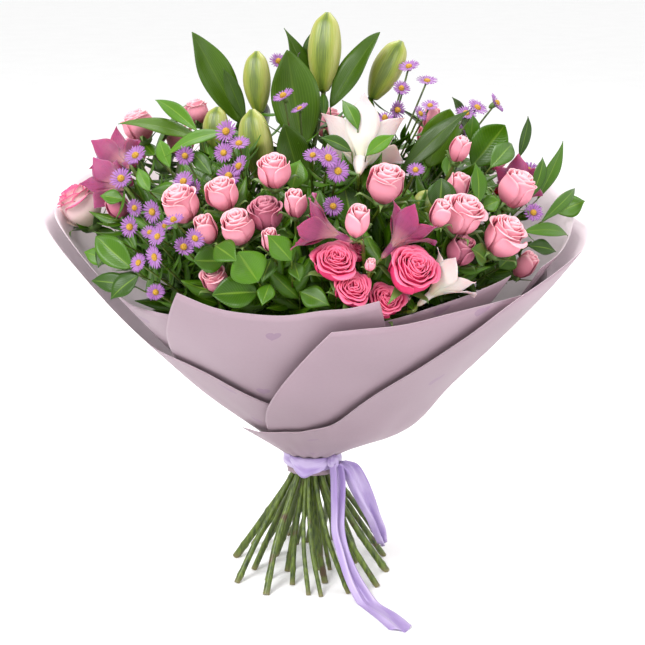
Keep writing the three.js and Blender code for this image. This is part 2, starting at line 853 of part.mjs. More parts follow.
// Nudges the slots apart until no two stems touch, but for the two of one bunch, which do.
function settleSlots(stems) {
  const rounds = 1200;
  const pulledRounds = 1116; // in these the tie draws every stem inwards
  const pull = 0.994;
  for (let round = 0; round < rounds; round++) {
    if (round < pulledRounds) stems.forEach((stem) => stem.slot.multiplyScalar(pull));
    for (let i = 0; i < stems.length; i++) {
      for (let j = i + 1; j < stems.length; j++) {
        const [a, b] = [stems[i], stems[j]];
        const between = b.slot.clone().sub(a.slot);
        const gap = between.length() || 1e-3;
        const twins = a.bunch === b.bunch;
        const wanted = a.radius + b.radius + (twins ? -TWIN_OVERLAP : STEM_GAP);
        if (gap >= wanted && !twins) continue;
        between.multiplyScalar((0.5 * (wanted - gap)) / gap);
        a.slot.sub(between);
        b.slot.add(between);
      }
    }
    stems.forEach((stem) => stem.slot.clampLength(0, WAIST_RADIUS + WAIST_BORDER - stem.radius));
  }
  stems.forEach((stem) => seatSlot(stem, stems));
}

// Moves a slot that was left loose up to its nearest neighbour.
function seatSlot(stem, stems) {
  const gapTo = (other) => stem.slot.distanceTo(other.slot) - stem.radius - other.radius;
  const others = stems.filter((other) => other !== stem);
  const nearest = others.reduce((best, other) => (gapTo(other) < gapTo(best) ? other : best));
  const excess = gapTo(nearest) - (stem.corner ? FURROW_GAP : STEM_GAP);
  if (excess > 0) stem.slot.add(nearest.slot.clone().sub(stem.slot).setLength(excess));
}

function awayFromHeart(at) {
  return at.clone().sub(HEART).normalize();
}

// Trumpets stand proud of the dome by depth, which is measured towards the back.
function trumpetDepth(pixel, depth) {
  return onDome(pixel).y + depth;
}

function bloomSpot(name) {
  if (ROSE_HEADS[name]) {
    const at = place(ROSE_HEADS[name]);
    const facing = awayFromHeart(at);
    const reach = 0.4 * ROSE_HEADS[name].width + CLEARANCE;
    return { at, facing, root: at.clone().addScaledVector(facing, -reach) };
  }
  const { mouth, base, depth, shape = ALSTROEMERIA } = TRUMPETS[name];
  const at = atDepth(base, trumpetDepth(base, depth));
  const facing = atDepth(mouth, trumpetDepth(mouth, depth)).sub(at).normalize();
  return { at, facing, root: at.clone().addScaledVector(facing, -shape.neck - CLEARANCE) };
}

// Everything that a stem carries, with the point where its own stalk ends and the way it faces.
function carried(stem) {
  const { heads = [], trumpets = [], buds = [], lilyBuds = [], asters = [], leaves = [] } = stem;
  return [
    ...[...heads, ...trumpets].map((name) => ({ kind: "bloom", name, ...bloomSpot(name) })),
    ...lilyBuds.map((bud) => {
      const root = atDepth(bud.base, bud.depth);
      const tip = atDepth(bud.tip, bud.depth + 0.1 * (bud.base[1] - bud.tip[1]));
      return { kind: "lilyBud", width: bud.width, root, tip, facing: tip.clone().sub(root).normalize() };
    }),
    ...buds.map((bud) => {
      const at = place(bud);
      const facing = awayFromHeart(at);
      const reach = (bud.width > FULL_WIDTH ? 0.4 : 0.6) * bud.width;
      return { kind: "bud", width: bud.width, facing, root: at.addScaledVector(facing, -reach) };
    }),
    ...asters.map((aster) => {
      const at = place(aster);
      const facing = awayFromHeart(at);
      if (aster.at) facing.addScaledVector(viewForward, -ASTER_TURN).normalize();
      return { kind: "aster", facing, root: at.addScaledVector(facing, -ASTER_DEPTH) };
    }),
    ...leaves.map((spec) => {
      const { width, lift = 0, depth } = spec;
      const root = place({ at: spec.base, spot: spec.baseSpot, lift: lift - 8, depth });
      const tip = place({ at: spec.tip, spot: spec.tipSpot, lift: lift + 4, depth });
      const facing = tip.clone().sub(root).normalize();
      return { kind: "leaf", width, root, tip, facing, hint: leafSide(root, tip, facing).negate() };
    }),
  ];
}

const stems = Object.entries(BUNCHES).flatMap(([bunch, { radius, corner, stems: own }]) =>
  own.map((spec) => {
    const items = carried(spec);
    const middle = items
      .reduce((sum, item) => sum.add(item.root), new Vector3())
      .divideScalar(items.length);
    const wanted = HEART.clone().lerp(middle, JUNCTION_SHARE);
    return { bunch, radius, corner, items, wanted, slot: slotTowards(wanted) };
  }),
);
settleSlots(stems);

// ---- routes: stems and stalks that bend clear of each other ------------------------------------

const BUNDLE_HEIGHTS = [0, 40, 80, 104, 120, 146, 172];
const FREE_HEIGHT = 146; // above this a stem leaves its place in the bundle
const STALK_RADIUS = { bloom: 1.5, lilyBud: 2.2, bud: 1.3, aster: 0.9, leaf: 0.9 };
const STALK_SIDES = { bloom: 4, lilyBud: 4, bud: 3, aster: 3, leaf: 3 };
const STALK_NECK = { bloom: 7, lilyBud: 6, bud: 0, aster: 0, leaf: 0 }; // straight behind a head
const ROUTE_GAP = 0.8;
const BRANCH_STEP = 9; // between two branchings along a stem
const BRANCH_REACH = 64; // the length of stem that branches
const BRANCH_TOP = 2; // from the end of a stem to its first branching
const STEM_BEND = 0.55; // where a free stem has its middle corner, as a share of its height
const BENDS = [0, 7, 14, 22]; // how far a stalk may bow aside, in eight directions
const SHIFTS = [0, 6, 12, 18]; // how far a junction may move aside, in eight directions
const laid = []; // the straight pieces of everything that is already in its place

function piecesOf(path, radius, owner) {
  return path.slice(1).map((end, i) => {
    const start = path[i];
    const middle = start.clone().lerp(end, 0.5);
    return { start, end, middle, reach: start.distanceTo(end) / 2 + radius, radius, owner };
  });
}

// The distance between two straight pieces.
function between(one, other) {
  const a = one.end.clone().sub(one.start);
  const b = other.end.clone().sub(other.start);
  const offset = one.start.clone().sub(other.start);
  const [aa, bb, ab] = [a.dot(a), b.dot(b), a.dot(b)];
  const [ao, bo] = [a.dot(offset), b.dot(offset)];
  const parallel = aa * bb - ab * ab;
  let s = parallel > 1e-6 ? MathUtils.clamp((ab * bo - ao * bb) / parallel, 0, 1) : 0;
  const t = bb > 1e-6 ? MathUtils.clamp((ab * s + bo) / bb, 0, 1) : 0;
  s = MathUtils.clamp((ab * t - ao) / aa, 0, 1);
  return offset.addScaledVector(a, s).addScaledVector(b, -t).length();
}

// How far a path is from the nearest thing of another owner.
function freedom(path, radius, owners) {
  let least = Infinity;
  for (const piece of piecesOf(path, radius)) {
    for (const other of laid) {
      if (owners.includes(other.owner)) continue;
      const far = piece.middle.distanceTo(other.middle) - piece.reach - other.reach;
      if (far < least) least = Math.min(least, between(piece, other) - radius - other.radius);
    }
  }
  return least;
}

function stemPath(slot, junction) {
  const bend = MathUtils.lerp(BUNDLE_HEIGHTS.at(-1), junction.z, STEM_BEND);
  const heights = [...BUNDLE_HEIGHTS, bend, junction.z];
  return heights.map((z) => {
    const share = MathUtils.smoothstep(z, FREE_HEIGHT, junction.z);
    const astray = junction.clone().sub(bundlePoint(slot, junction.z));
    return bundlePoint(slot, z).addScaledVector(astray, share);
  });
}

function alongPath(path, fromEnd) {
  let left = fromEnd;
  for (let i = path.length - 1; i > 0; i--) {
    const length = path[i].distanceTo(path[i - 1]);
    if (left <= length) return path[i].clone().lerp(path[i - 1], left / length);
    left -= length;
  }
  return path[0].clone();
}

// The straightest stalk that keeps clear, or else the one that comes nearest to it.
function routeStalk(from, item, bunch) {
  const radius = STALK_RADIUS[item.kind];
  const neck = item.root.clone().addScaledVector(item.facing, -STALK_NECK[item.kind]);
  const along = neck.clone().sub(from).normalize();
  const across = along.clone().cross(new Vector3(1, 0, 0.2)).normalize();
  const upward = along.clone().cross(across);
  const ends = STALK_NECK[item.kind] ? [neck, item.root] : [item.root];
  let best;
  for (const bend of BENDS) {
    for (let k = 0; k < (bend ? 8 : 1); k++) {
      const turn = (k * Math.PI) / 4;
      const middle = from.clone().lerp(neck, 0.5);
      middle.addScaledVector(across, bend * Math.cos(turn));
      middle.addScaledVector(upward, bend * Math.sin(turn));
      const path = bend ? [from, middle, ...ends] : [from, ...ends];
      const room = freedom(path, radius, [bunch, item.name]);
      if (room > ROUTE_GAP) return { path, room };
      if (!best || room > best.room) best = { path, room };
    }
  }
  return best;
}

for (const stem of stems) {
  let best;
  for (const shift of SHIFTS) {
    for (let k = 0; k < (shift ? 8 : 1) && !(best?.room > STEM_GAP); k++) {
      const aside = new Vector3(shift, 0, 0).applyAxisAngle(UP, (k * Math.PI) / 4);
      const path = stemPath(stem.slot, stem.wanted.clone().add(aside));
      const room = freedom(path, stem.radius, [stem.bunch]);
      if (!best || room > best.room) best = { path, room };
    }
  }
  stem.path = best.path;
  laid.push(...piecesOf(stem.path, stem.radius, stem.bunch));
}

// ---- green nodes: stems with what grows on them -------------------------------------------------

const STEM_SIDES = 4;

function bloomSolid(name, skin = 0) {
  const { at, facing } = bloomSpot(name);
  if (ROSE_HEADS[name]) {
    return loft(roseRings(ROSE_HEADS[name].width + 2 * skin, frameAt(at, facing, UP)));
  }
  const { shape = ALSTROEMERIA, spin } = TRUMPETS[name];
  return trumpet(shape, skin).transform(standing(at, facing, spin).elements);
}

// What a bloom keeps others out of: a rose is full, a trumpet has room between its petals.
function bloomSpace(name) {
  const grown = bloomSolid(name, CLEARANCE);
  return ROSE_HEADS[name] ? grown.hull() : grown.add(bloomSolid(name));
}

function stalkRings(item, skin) {
  const hint = item.hint ?? (Math.abs(item.facing.z) > 0.8 ? new Vector3(1, 0, 0) : UP);
  const sides = STALK_SIDES[item.kind];
  return pathRings(item.path, STALK_RADIUS[item.kind] + skin, sides, item.facing, hint);
}

// What is at the end of a stalk, beginning with the ring where the stalk ends.
function headRings(item, skin) {
  const { frame, points } = stalkRings(item, skin).at(-1);
  const shape = {
    bloom: () => [],
    leaf: () => leafRings(item, skin),
    lilyBud: () => lilyBudRings(item.root.distanceTo(item.tip), item.width, frame, skin),
    aster: () => asterRings({ ...frame, at: inFrame(frame, 0, 0, ASTER_DEPTH) }, skin),
    bud: () => {
      const width = item.width + 2 * skin;
      const open = item.width > FULL_WIDTH;
      const middle = { ...frame, at: inFrame(frame, 0, 0, (open ? 0.4 : 0.6) * item.width) };
      return (open ? roseRings(width, middle) : budRings(width, middle)).slice(1);
    },
  };
  return [points, ...shape[item.kind]()];
}

function stalkSolid(item, skin) {
  return loft(stalkRings(item, skin).map((ring) => ring.points));
}

function itemSolid(item) {
  const stalk = stalkRings(item, 0).slice(0, -1);
  return loft([...stalk.map((ring) => ring.points), ...headRings(item, 0)]);
}

// A stem is cut off level where it stands.
function stemSolid({ path, radius, corner = new Vector3(1, 0, 0) }, skin) {
  const rings = pathRings(path, radius + skin, STEM_SIDES, UP, corner);
  const level = frameAt(path[0], UP, rings[0].frame.side);
  const foot = lobedRing({ r: radius + skin, z: 0 }, STEM_SIDES, 0, level);
  return loft([foot, ...rings.slice(1).map((ring) => ring.points)]);
}

const bloomNames = [...Object.keys(ROSE_HEADS), ...Object.keys(TRUMPETS)];
const bunchNames = Object.keys(BUNCHES);

// ---- paper --------------------------------------------------------------------------------------

// A point of the wrap: turn in degrees round from +X, share from the tie to the rim, out along the
// paper's normal. Below the tie the share is negative and the paper hangs as a collar.
function paperPoint(turn, share, slot, out, bulge) {
  const a = MathUtils.degToRad(turn);
  const reach = 1 / Math.hypot(Math.cos(a) / PAPER.x, Math.sin(a) / PAPER.y) - PAPER.tie;
  if (share < 0) {
    const drop = share / COLLAR;
    const r = PAPER.tie + slot * PAPER_STEP + out + COLLAR_FLARE * drop * drop;
    return new Vector3(r * Math.cos(a), r * Math.sin(a), PAPER.base + COLLAR_DROP * drop);
  }
  const climb = PAPER.rim + PAPER.rimTilt * Math.sin(a) - PAPER.base;
  const turnUp = 1 - PAPER_SLOPE;
  const steep = PAPER_SLOPE + PAPER_TURN_UP * turnUp * share ** (PAPER_TURN_UP - 1);
  const slope = new Vector2(reach, climb * steep).normalize();
  const belly = HUMP.height * Math.exp(-(((share - HUMP.share) / HUMP.spread) ** 2));
  const rest = HUMP_REST.height * MathUtils.smoothstep(share, HUMP_REST.from, HUMP_REST.to);
  const lean = Math.max(0, Math.cos(a));
  const apart = slot * (PAPER_STEP + PAPER_SPREAD * share * (2 - share));
  const offset = apart + out + bulge * (belly + rest) * lean;
  const r = PAPER.tie + reach * share + offset * slope.y;
  const rise = PAPER_SLOPE * share + turnUp * share ** PAPER_TURN_UP;
  const z = PAPER.base + climb * rise - offset * slope.x;
  return new Vector3(r * Math.cos(a), r * Math.sin(a), z);
}

// The seven sheets, inside to outside. Each edge entry is [turn at the tie, turn at the top, share
// of the way to the rim that the sheet reaches there].
const SHEETS = {
  paper_back_left: {
    slot: 0,
    edge: [
      [-258, -276, 1],
      [-242, -250, 1.02],
      [-226, -228, 1.04],
      [-211, -210, 1.05],
      [-200, -197, 1.06],
      [-188, -184, 1.03],
      [-176, -168, 1.02],
      [-164, -155, 0.86],
      [-150, -137, 0.87],
      [-135, -120, 0.9],
      [-122, -108, 0.9],
    ],
  },
  paper_front_inner: {
    slot: 0,
    edge: [
      [-104, -78, 0.9],
      [-88, -67, 0.92],
      [-74, -58, 0.94],
      [-54, -47, 0.96],
      [-26, -35, 0.97],
    ],
  },
  paper_front_left: {
    slot: 1,
    collar: true,
    edge: [
      [-186, -122, 1.01],
      [-165, -114, 0.98],
      [-145, -105, 0.97],
      [-124, -96, 0.97],
      [-100, -87, 0.99],
      [-74, -80.5, 1],
      [-40, -74, 1.02],
    ],
  },
  paper_back_right: {
    slot: 2,
    collar: true,
    edge: [
      [-10, -28, 0.99],
      [4, -12, 0.99],
      [18, 2, 1.02],
      [32, 13, 1.04],
      [46, 27, 1.05],
      [60, 46, 1.02],
      [76, 66, 1.02],
      [96, 96, 1],
    ],
  },
  paper_left: {
    slot: 2,
    collar: true,
    edge: [
      [-235, -228, 0.98],
      [-214, -204, 1],
      [-196, -184, 1.03],
      [-181, -168, 1.04],
      [-169, -160, 0.87],
      [-156, -157, 0.7],
      [-140, -136, 0.66],
      [-126, -121, 0.58],
      [-112, -108, 0.49],
      [-96, -96, 0.42],
    ],
  },
  paper_centre: {
    slot: 3,
    collar: true,
    edge: [
      [-136, -85, 0.95],
      [-122, -78, 0.96],
      [-106, -69, 0.96],
      [-88, -57, 0.97],
      [-70, -47, 0.97],
      [-52, -36, 0.95],
      [-30, -20, 0.9],
      [-8, -6, 0.88],
      [14, 10, 0.86],
    ],
  },
  paper_right: {
    slot: 4,
    collar: true,
    bulge: 11,
    edge: [
      [-150, -150, 0.25],
      [-132, -132, 0.27],
      [-114, -114, 0.3],
      [-98, -98, 0.34],
      [-86, -86, 0.4],
      [-78, -78, 0.45],
      [-70, -70, 0.58],
      [-60, -60, 0.74],
      [-51, -51, 0.87],
      [-41, -41, 0.98],
      [-28, -28, 1.02],
      [-10, -10, 1.03],
      [8, 8, 1],
      [26, 26, 1],
      [44, 44, 0.97],
      [62, 62, 0.94],
    ],
  },
};
const PAPER_ROWS = [0, 0.15, 0.4, 0.7, 1];
const PAPER_COLUMN = 15; // widest step round between two columns, in degrees

// The edge of a sheet with more entries between those given.
function fineEdge(edge) {
  const reach = (k) => Math.abs(edge.at(-1)[k] - edge[0][k]);
  const columns = Math.ceil(Math.max(reach(0), reach(1)) / PAPER_COLUMN);
  return Array.from({ length: columns + 1 }, (_, i) => {
    const t = (i / columns) * (edge.length - 1);
    const from = edge[Math.min(Math.floor(t), edge.length - 2)];
    const to = edge[Math.min(Math.floor(t), edge.length - 2) + 1];
    const share = t - Math.min(Math.floor(t), edge.length - 2);
    return from.map((value, k) => MathUtils.lerp(value, to[k], share));
  });
}

// A sheet between its two faces, as a closed grid of (columns x rows) on each.
function sheetSolid({ slot, collar, bulge = 0, edge: outline }, skin) {
  const rows = collar ? [-COLLAR, ...PAPER_ROWS] : PAPER_ROWS;
  const edge = fineEdge(outline);
  const face = (out) =>
    edge.flatMap(([low, high, top]) =>
      rows.map((row) => {
        const share = row < 0 ? row : row * top;
        return paperPoint(MathUtils.lerp(low, high, Math.max(0, row)), share, slot, out, bulge);
      }),
    );
  return thickGrid(face(-skin), face(PAPER_THICKNESS + skin), edge.length, rows.length);
}

// A closed plate between two grids of points, columns by rows.
function thickGrid(inside, outside, columns, rows) {
  const at = (side, column, row) => side * columns * rows + column * rows + row;
  const triangles = [];
  const quad = (a, b, c, d) => triangles.push(a, b, c, a, c, d);
  for (let c = 0; c + 1 < columns; c++) {
    for (let r = 0; r + 1 < rows; r++) {
      quad(at(0, c, r), at(0, c, r + 1), at(0, c + 1, r + 1), at(0, c + 1, r));
      quad(at(1, c, r), at(1, c + 1, r), at(1, c + 1, r + 1), at(1, c, r + 1));
    }
    quad(at(0, c, 0), at(0, c + 1, 0), at(1, c + 1, 0), at(1, c, 0));
    quad(at(0, c, rows - 1), at(1, c, rows - 1), at(1, c + 1, rows - 1), at(0, c + 1, rows - 1));
  }
  for (let r = 0; r + 1 < rows; r++) {
    quad(at(0, 0, r), at(1, 0, r), at(1, 0, r + 1), at(0, 0, r + 1));
    const c = columns - 1;
    quad(at(0, c, r), at(0, c, r + 1), at(1, c, r + 1), at(1, c, r));
  }
  const geometry = new THREE.BufferGeometry().setFromPoints([...inside, ...outside]);
  geometry.setIndex(triangles);
  return toSolid(geometry);
}

// ---- ribbon -------------------------------------------------------------------------------------

function ribbonBand(skin) {
  const inner = RIBBON_RADIUS - skin;
  const outer = RIBBON_RADIUS + RIBBON_THICKNESS + skin;
  const profile = [
    new Vector2(inner, RIBBON_LOW - skin),
    new Vector2(outer, RIBBON_LOW - skin),
    new Vector2(outer, RIBBON_HIGH + skin),
    new Vector2(inner, RIBBON_HIGH + skin),
    new Vector2(inner, RIBBON_LOW - skin),
  ];
  return toSolid(new THREE.LatheGeometry(profile, 22)).rotate([90, 0, 0]);
}

// The folded loop that hangs in front of the band: [x, lowest height, how far it stands out].
const FOLD = [
  [-21, 112, 0],
  [-18, 109, 1],
  [-13, 104.5, 3],
  [-7, 100.5, 4],
  [0, 103.5, 3],
  [8, 107, 2.5],
  [15, 113, 1.5],
  [20, 117, 0],
];

function ribbonFold(skin) {
  const rows = [0, 0.35, 0.7, 1];
  const face = (out) =>
    FOLD.flatMap(([x, low, proud]) =>
      rows.map((row) => {
        const z = MathUtils.lerp(RIBBON_HIGH - 0.3, low, row);
        const r = RIBBON_RADIUS + 0.6 + proud * Math.sin(Math.PI * (0.15 + 0.6 * row)) + out;
        const turn = Math.asin(x / (RIBBON_RADIUS + 1));
        return new Vector3(r * Math.sin(turn), -r * Math.cos(turn), z);
      }),
    );
  return thickGrid(face(RIBBON_THICKNESS + 0.4 + skin), face(-skin), FOLD.length, rows.length);
}

// A flat strip along points { at, half, side }, where side is the way its width lies.
function strip(stations, thickness) {
  const curve = new THREE.CatmullRomCurve3(stations.map((station) => station.at));
  const last = stations.length - 1;
  const face = (out) =>
    stations.flatMap(({ half, side }, i) => {
      const across = side.clone().normalize();
      const normal = across.clone().cross(curve.getTangent(i / last)).normalize();
      const middle = curve.getPoint(i / last).addScaledVector(normal, out);
      return [-half, half].map((reach) => middle.clone().addScaledVector(across, reach));
    });
  return thickGrid(face(thickness / 2), face(-thickness / 2), stations.length, 2);
}

const tailSide = (x, y, z) => new Vector3(x, y, z);
const LONG_TAIL = [
  { at: atDepth([336, 463], -29), half: 5.5, side: tailSide(1, 0.5, 0) },
  { at: atDepth([338, 480], -30), half: 6.5, side: tailSide(1, 0.3, 0) },
  { at: atDepth([338, 507], -34), half: 6, side: tailSide(0.9, 0.5, 0) },
  { at: atDepth([338, 530], -45), half: 6, side: tailSide(0.8, 0.6, 0) },
  { at: atDepth([343, 552], -58), half: 6, side: tailSide(0.6, 0.8, 0) },
  { at: atDepth([350, 572], -70), half: 6.5, side: tailSide(0.8, 0.6, 0) },
  { at: atDepth([359, 590], -82), half: 7.5, side: tailSide(0.9, 0.4, 0.1) },
  { at: atDepth([370, 606], -95), half: 8.5, side: tailSide(1, 0.4, 0) },
  { at: new Vector3(68, -119, 1.3), half: 9.5, side: tailSide(1, 0.42, 0) },
  { at: new Vector3(79, -140, 1.2), half: 10.5, side: tailSide(1, 0.2, 0) },
];
const SHORT_TAIL = [
  { at: atDepth([340, 462], -27.5), half: 4.5, side: tailSide(1, 0.6, 0.4) },
  { at: atDepth([350, 468], -24), half: 8, side: tailSide(1, 0.3, 0.6) },
  { at: atDepth([358, 483], -21), half: 9.5, side: tailSide(1, 0.3, 0.5) },
  { at: atDepth([366, 500], -18), half: 8.5, side: tailSide(1, 0.5, 0.4) },
  { at: atDepth([373, 516], -16), half: 7, side: tailSide(0.8, 0.8, 0.2) },
  { at: atDepth([379, 531], -14), half: 6.5, side: tailSide(0.8, 0.8, 0.1) },
  { at: atDepth([382, 542], -13), half: 4, side: tailSide(0.6, 0.9, 0) },
];

const KNOT_RADIUS = 7.5;
const KNOT_PLACE = [20, -27.5, 116];

function ribbonSolid(skin) {
  const knot = toSolid(new THREE.IcosahedronGeometry(KNOT_RADIUS + skin, 0))
    .scale([0.8, 0.8, 1])
    .translate(KNOT_PLACE);
  const thickness = RIBBON_THICKNESS + 2 * skin;
  const tails = [LONG_TAIL, SHORT_TAIL].map((tail) => strip(tail, thickness));
  return fuse([ribbonBand(skin), ribbonFold(skin), knot, ...tails]);
}

// ---- putting each piece in its place, clear of the rest -----------------------------------------

const SIMPLIFY = 0.12; // how far a green node's surface may move to save faces
const SIMPLIFY_BLOOM = 0.03;
const NEAREST = 1e-3; // corners nearer to each other than this are one
const DEPTH_SHIFTS = [0, -8, 8, -16, 16, -24, 24]; // how far an item may move along the line of sight

const solids = {};
const spaces = []; // what is already in its place, grown by the clearance

function keep(solid, owner, woody = false) {
  spaces.push({ solid, box: solid.boundingBox(), owner, woody });
}

function spacesNear(solid, owner) {
  const box = solid.boundingBox();
  const meets = (o) => [0, 1, 2].every((k) => box.min[k] < o.max[k] && o.min[k] < box.max[k]);
  return spaces.filter((space) => space.owner !== owner && meets(space.box));
}

function crossing(solid, owner) {
  return spacesNear(solid, owner).reduce(
    (sum, space) => sum + space.solid.intersect(solid).volume(),
    0,
  );
}

function cutClear(solid, owner) {
  const near = spacesNear(solid, owner).filter((space) => space.solid.intersect(solid).volume() > 0);
  return near.length ? solid.subtract(fuse(near.map((space) => space.solid))) : solid;
}

function settle(name, solid, tolerance) {
  const simple = mainBody(solid).simplify(tolerance);
  solids[name] = mainBody(toSolid(fromSolid(simple), NEAREST));
}

for (const [name, spec] of Object.entries(SHEETS)) {
  settle(name, cutClear(sheetSolid(spec, 0), name), SIMPLIFY);
  keep(sheetSolid(spec, CLEARANCE), name);
}
settle("ribbon", cutClear(ribbonSolid(0), "ribbon").trimByPlane([0, 0, 1], 0.3), SIMPLIFY);
keep(ribbonSolid(CLEARANCE), "ribbon");

for (const name of bloomNames) {
  settle(name, cutClear(bloomSolid(name), name), SIMPLIFY_BLOOM);
  keep(bloomSpace(name), name);
  if (ROSE_HEADS[name]) {
    const { at } = bloomSpot(name);
    laid.push(...piecesOf([at, at], ROSE_HEADS[name].width / 2, name));
  }
}
for (const stem of stems) keep(stemSolid(stem, CLEARANCE), stem.bunch, true);

function branchPoint(stem, i) {
  const step = Math.min(BRANCH_STEP, BRANCH_REACH / stem.items.length);
  return alongPath(stem.path, BRANCH_TOP + i * step);
}

const TROUBLE = { crowding: 4, shift: 0.02 }; // what 1 mm of either counts for, in mm3 of crossing

// An item as it stands when it is moved along the line of sight, with its stalk and its solid.
function shifted(item, shift, from, bunch) {
  const move = (point) => point?.clone().addScaledVector(viewForward, shift);
  const moved = { ...item, root: move(item.root), tip: move(item.tip) };
  const { path, room } = routeStalk(from, moved, bunch);
  moved.path = path;
  moved.solid = itemSolid(moved);
  const crowding = TROUBLE.crowding * Math.max(0, -room);
  moved.trouble = crossing(moved.solid, bunch) + crowding + TROUBLE.shift * Math.abs(shift);
  return moved;
}

const ORDER = ["bloom", "lilyBud", "bud", "aster", "leaf"];
const ENOUGH = 1; // mm3 of crossing that is left to be cut away
const growth = stems.flatMap((stem) => stem.items.map((item, i) => ({ stem, item, i })));
growth.sort((a, b) => ORDER.indexOf(a.item.kind) - ORDER.indexOf(b.item.kind));
for (const { stem, item, i } of growth) {
  const from = branchPoint(stem, i);
  let best;
  for (const shift of item.kind === "bloom" ? [0] : DEPTH_SHIFTS) {
    const moved = shifted(item, shift, from, stem.bunch);
    if (!best || moved.trouble < best.trouble) best = moved;
    if (best.trouble < ENOUGH) break;
  }
  stem.items[i] = best;
  laid.push(...piecesOf(best.path, STALK_RADIUS[best.kind], stem.bunch));
  keep(stalkSolid(best, CLEARANCE), stem.bunch, true);
  if (best.kind !== "bloom") keep(loft(headRings(best, CLEARANCE)), stem.bunch);
}

// Heads and leaves give way to the stalks of others, and then to the heads and leaves before them.
const settled = [];
for (const bunch of bunchNames) {
  const own = stems.filter((stem) => stem.bunch === bunch);
  const items = own.flatMap((stem) => stem.items);
  const bare = own.map((stem) => stemSolid(stem, 0));
  const stalks = fuse([...bare, ...items.map((item) => stalkSolid(item, 0))]);
  const whole = fuse([...bare, ...items.map((item) => item.solid)]);
  const near = spacesNear(whole, bunch).filter((space) => space.solid.intersect(whole).volume() > 0);
  const isHard = ({ owner, woody }) => !bunchNames.includes(owner) || (woody && settled.includes(owner));
  const isYielding = ({ owner, woody }) =>
    bunchNames.includes(owner) && woody !== settled.includes(owner);
  const hard = near.filter(isHard).map((space) => space.solid);
  const yielding = near.filter(isYielding).map((space) => space.solid);
  let cut = hard.length ? whole.subtract(fuse(hard)) : whole;
  if (yielding.length) cut = cut.subtract(fuse(yielding).subtract(stalks));
  settle(bunch, cut, SIMPLIFY);
  settled.push(bunch);
}

// ---- the bouquet --------------------------------------------------------------------------------

const COLOURS = {
  pale: 0xf6c3d2,
  light: 0xf1a0b6,
  dusky: 0xc9788f,
  hot: 0xdf3f77,
  trumpet: 0xb0568f,
  lily: 0xf3efe2,
  green: 0x4c7a2a,
  paper: 0xc9abbb,
  ribbon: 0xc6aee6,
};

function colourOf(name) {
  if (ROSE_HEADS[name]) return COLOURS[ROSE_HEADS[name].colour];
  if (TRUMPETS[name]) return TRUMPETS[name].shape ? COLOURS.lily : COLOURS.trumpet;
  if (SHEETS[name]) return COLOURS.paper;
  return name === "ribbon" ? COLOURS.ribbon : COLOURS.green;
}

const bouquet = new THREE.Group();
for (const [name, solid] of Object.entries(solids)) {
  const material = new THREE.MeshStandardMaterial({
    color: colourOf(name),
    roughness: name === "ribbon" ? 0.35 : 0.7,
    metalness: 0,
  });
  const mesh = new THREE.Mesh(fromSolid(solid).translate(-ORIGIN.x, -ORIGIN.y, 0), material);
  mesh.name = name;
  bouquet.add(mesh);
}

export default bouquet;
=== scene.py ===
"""A hand-tied mixed bouquet in wrapping paper, standing on its cut stem ends.

Lengths in the tables are millimetres from the middle of the tie; each mesh is made in metres.
"""

import math

import bpy
import numpy as np
from mathutils import Matrix, Vector
from mathutils.kdtree import KDTree


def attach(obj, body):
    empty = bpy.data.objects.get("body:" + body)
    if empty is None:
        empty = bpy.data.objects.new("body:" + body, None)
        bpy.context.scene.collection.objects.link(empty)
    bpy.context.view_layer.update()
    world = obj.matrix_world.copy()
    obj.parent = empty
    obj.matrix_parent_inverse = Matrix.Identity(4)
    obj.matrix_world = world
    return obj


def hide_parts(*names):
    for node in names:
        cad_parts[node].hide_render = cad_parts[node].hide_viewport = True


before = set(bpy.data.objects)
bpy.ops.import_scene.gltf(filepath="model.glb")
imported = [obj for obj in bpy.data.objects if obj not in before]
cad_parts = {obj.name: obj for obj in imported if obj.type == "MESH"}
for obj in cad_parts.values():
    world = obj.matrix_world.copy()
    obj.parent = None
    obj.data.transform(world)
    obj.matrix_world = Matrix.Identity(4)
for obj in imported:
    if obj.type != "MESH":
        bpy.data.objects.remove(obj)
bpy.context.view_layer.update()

# ---- The camera ----
# The photograph's camera: a long lens 1.4 m away, looking 16 degrees down at the bouquet. It is
# fixed there, and blooms, leaves and ribbon are later placed where it sees them.

ORIGIN = np.array([3.7, 1.4, 0.0])  # the middle of the whole bouquet, from the middle of its tie
PICTURE = 645  # pixels across
FOCAL = 1523  # pixels
PITCH = math.radians(16)
AIM = np.array([9.8, 0.0, 244.0])
DISTANCE = 1424
forward = np.array([0, math.cos(PITCH), -math.sin(PITCH)])
eye = AIM - DISTANCE * forward


def new_object(name, data):
    made = bpy.data.objects.new(name, data)
    bpy.context.scene.collection.objects.link(made)
    return made


camera = new_object("camera", bpy.data.cameras.new("camera"))
camera.location = (eye - ORIGIN) / 1000
camera.rotation_euler = (math.pi / 2 - PITCH, 0, 0)
camera.data.sensor_width = 36
camera.data.lens = 36 * FOCAL / PICTURE
bpy.context.scene.camera = camera


# ---- Floor and light ----
# A pale studio floor under soft boxes: a large one in front on the left, a weaker one on the
# right and one above the back.


def node(tree, kind, inputs=(), **settings):
    made = tree.nodes.new(kind)
    for key, value in settings.items():
        setattr(made, key, value)
    for key, value in dict(inputs).items():
        if isinstance(value, bpy.types.NodeSocket):
            tree.links.new(value, made.inputs[key])
        else:
            made.inputs[key].default_value = value
    return made


def ramp(tree, share, stops):
    made = node(tree, "ShaderNodeValToRGB", {0: share})
    for _ in stops[2:]:
        made.color_ramp.elements.new(0.5)
    for element, (position, paint) in zip(made.color_ramp.elements, stops):
        element.position = position
        element.color = paint
    return made.outputs[0]


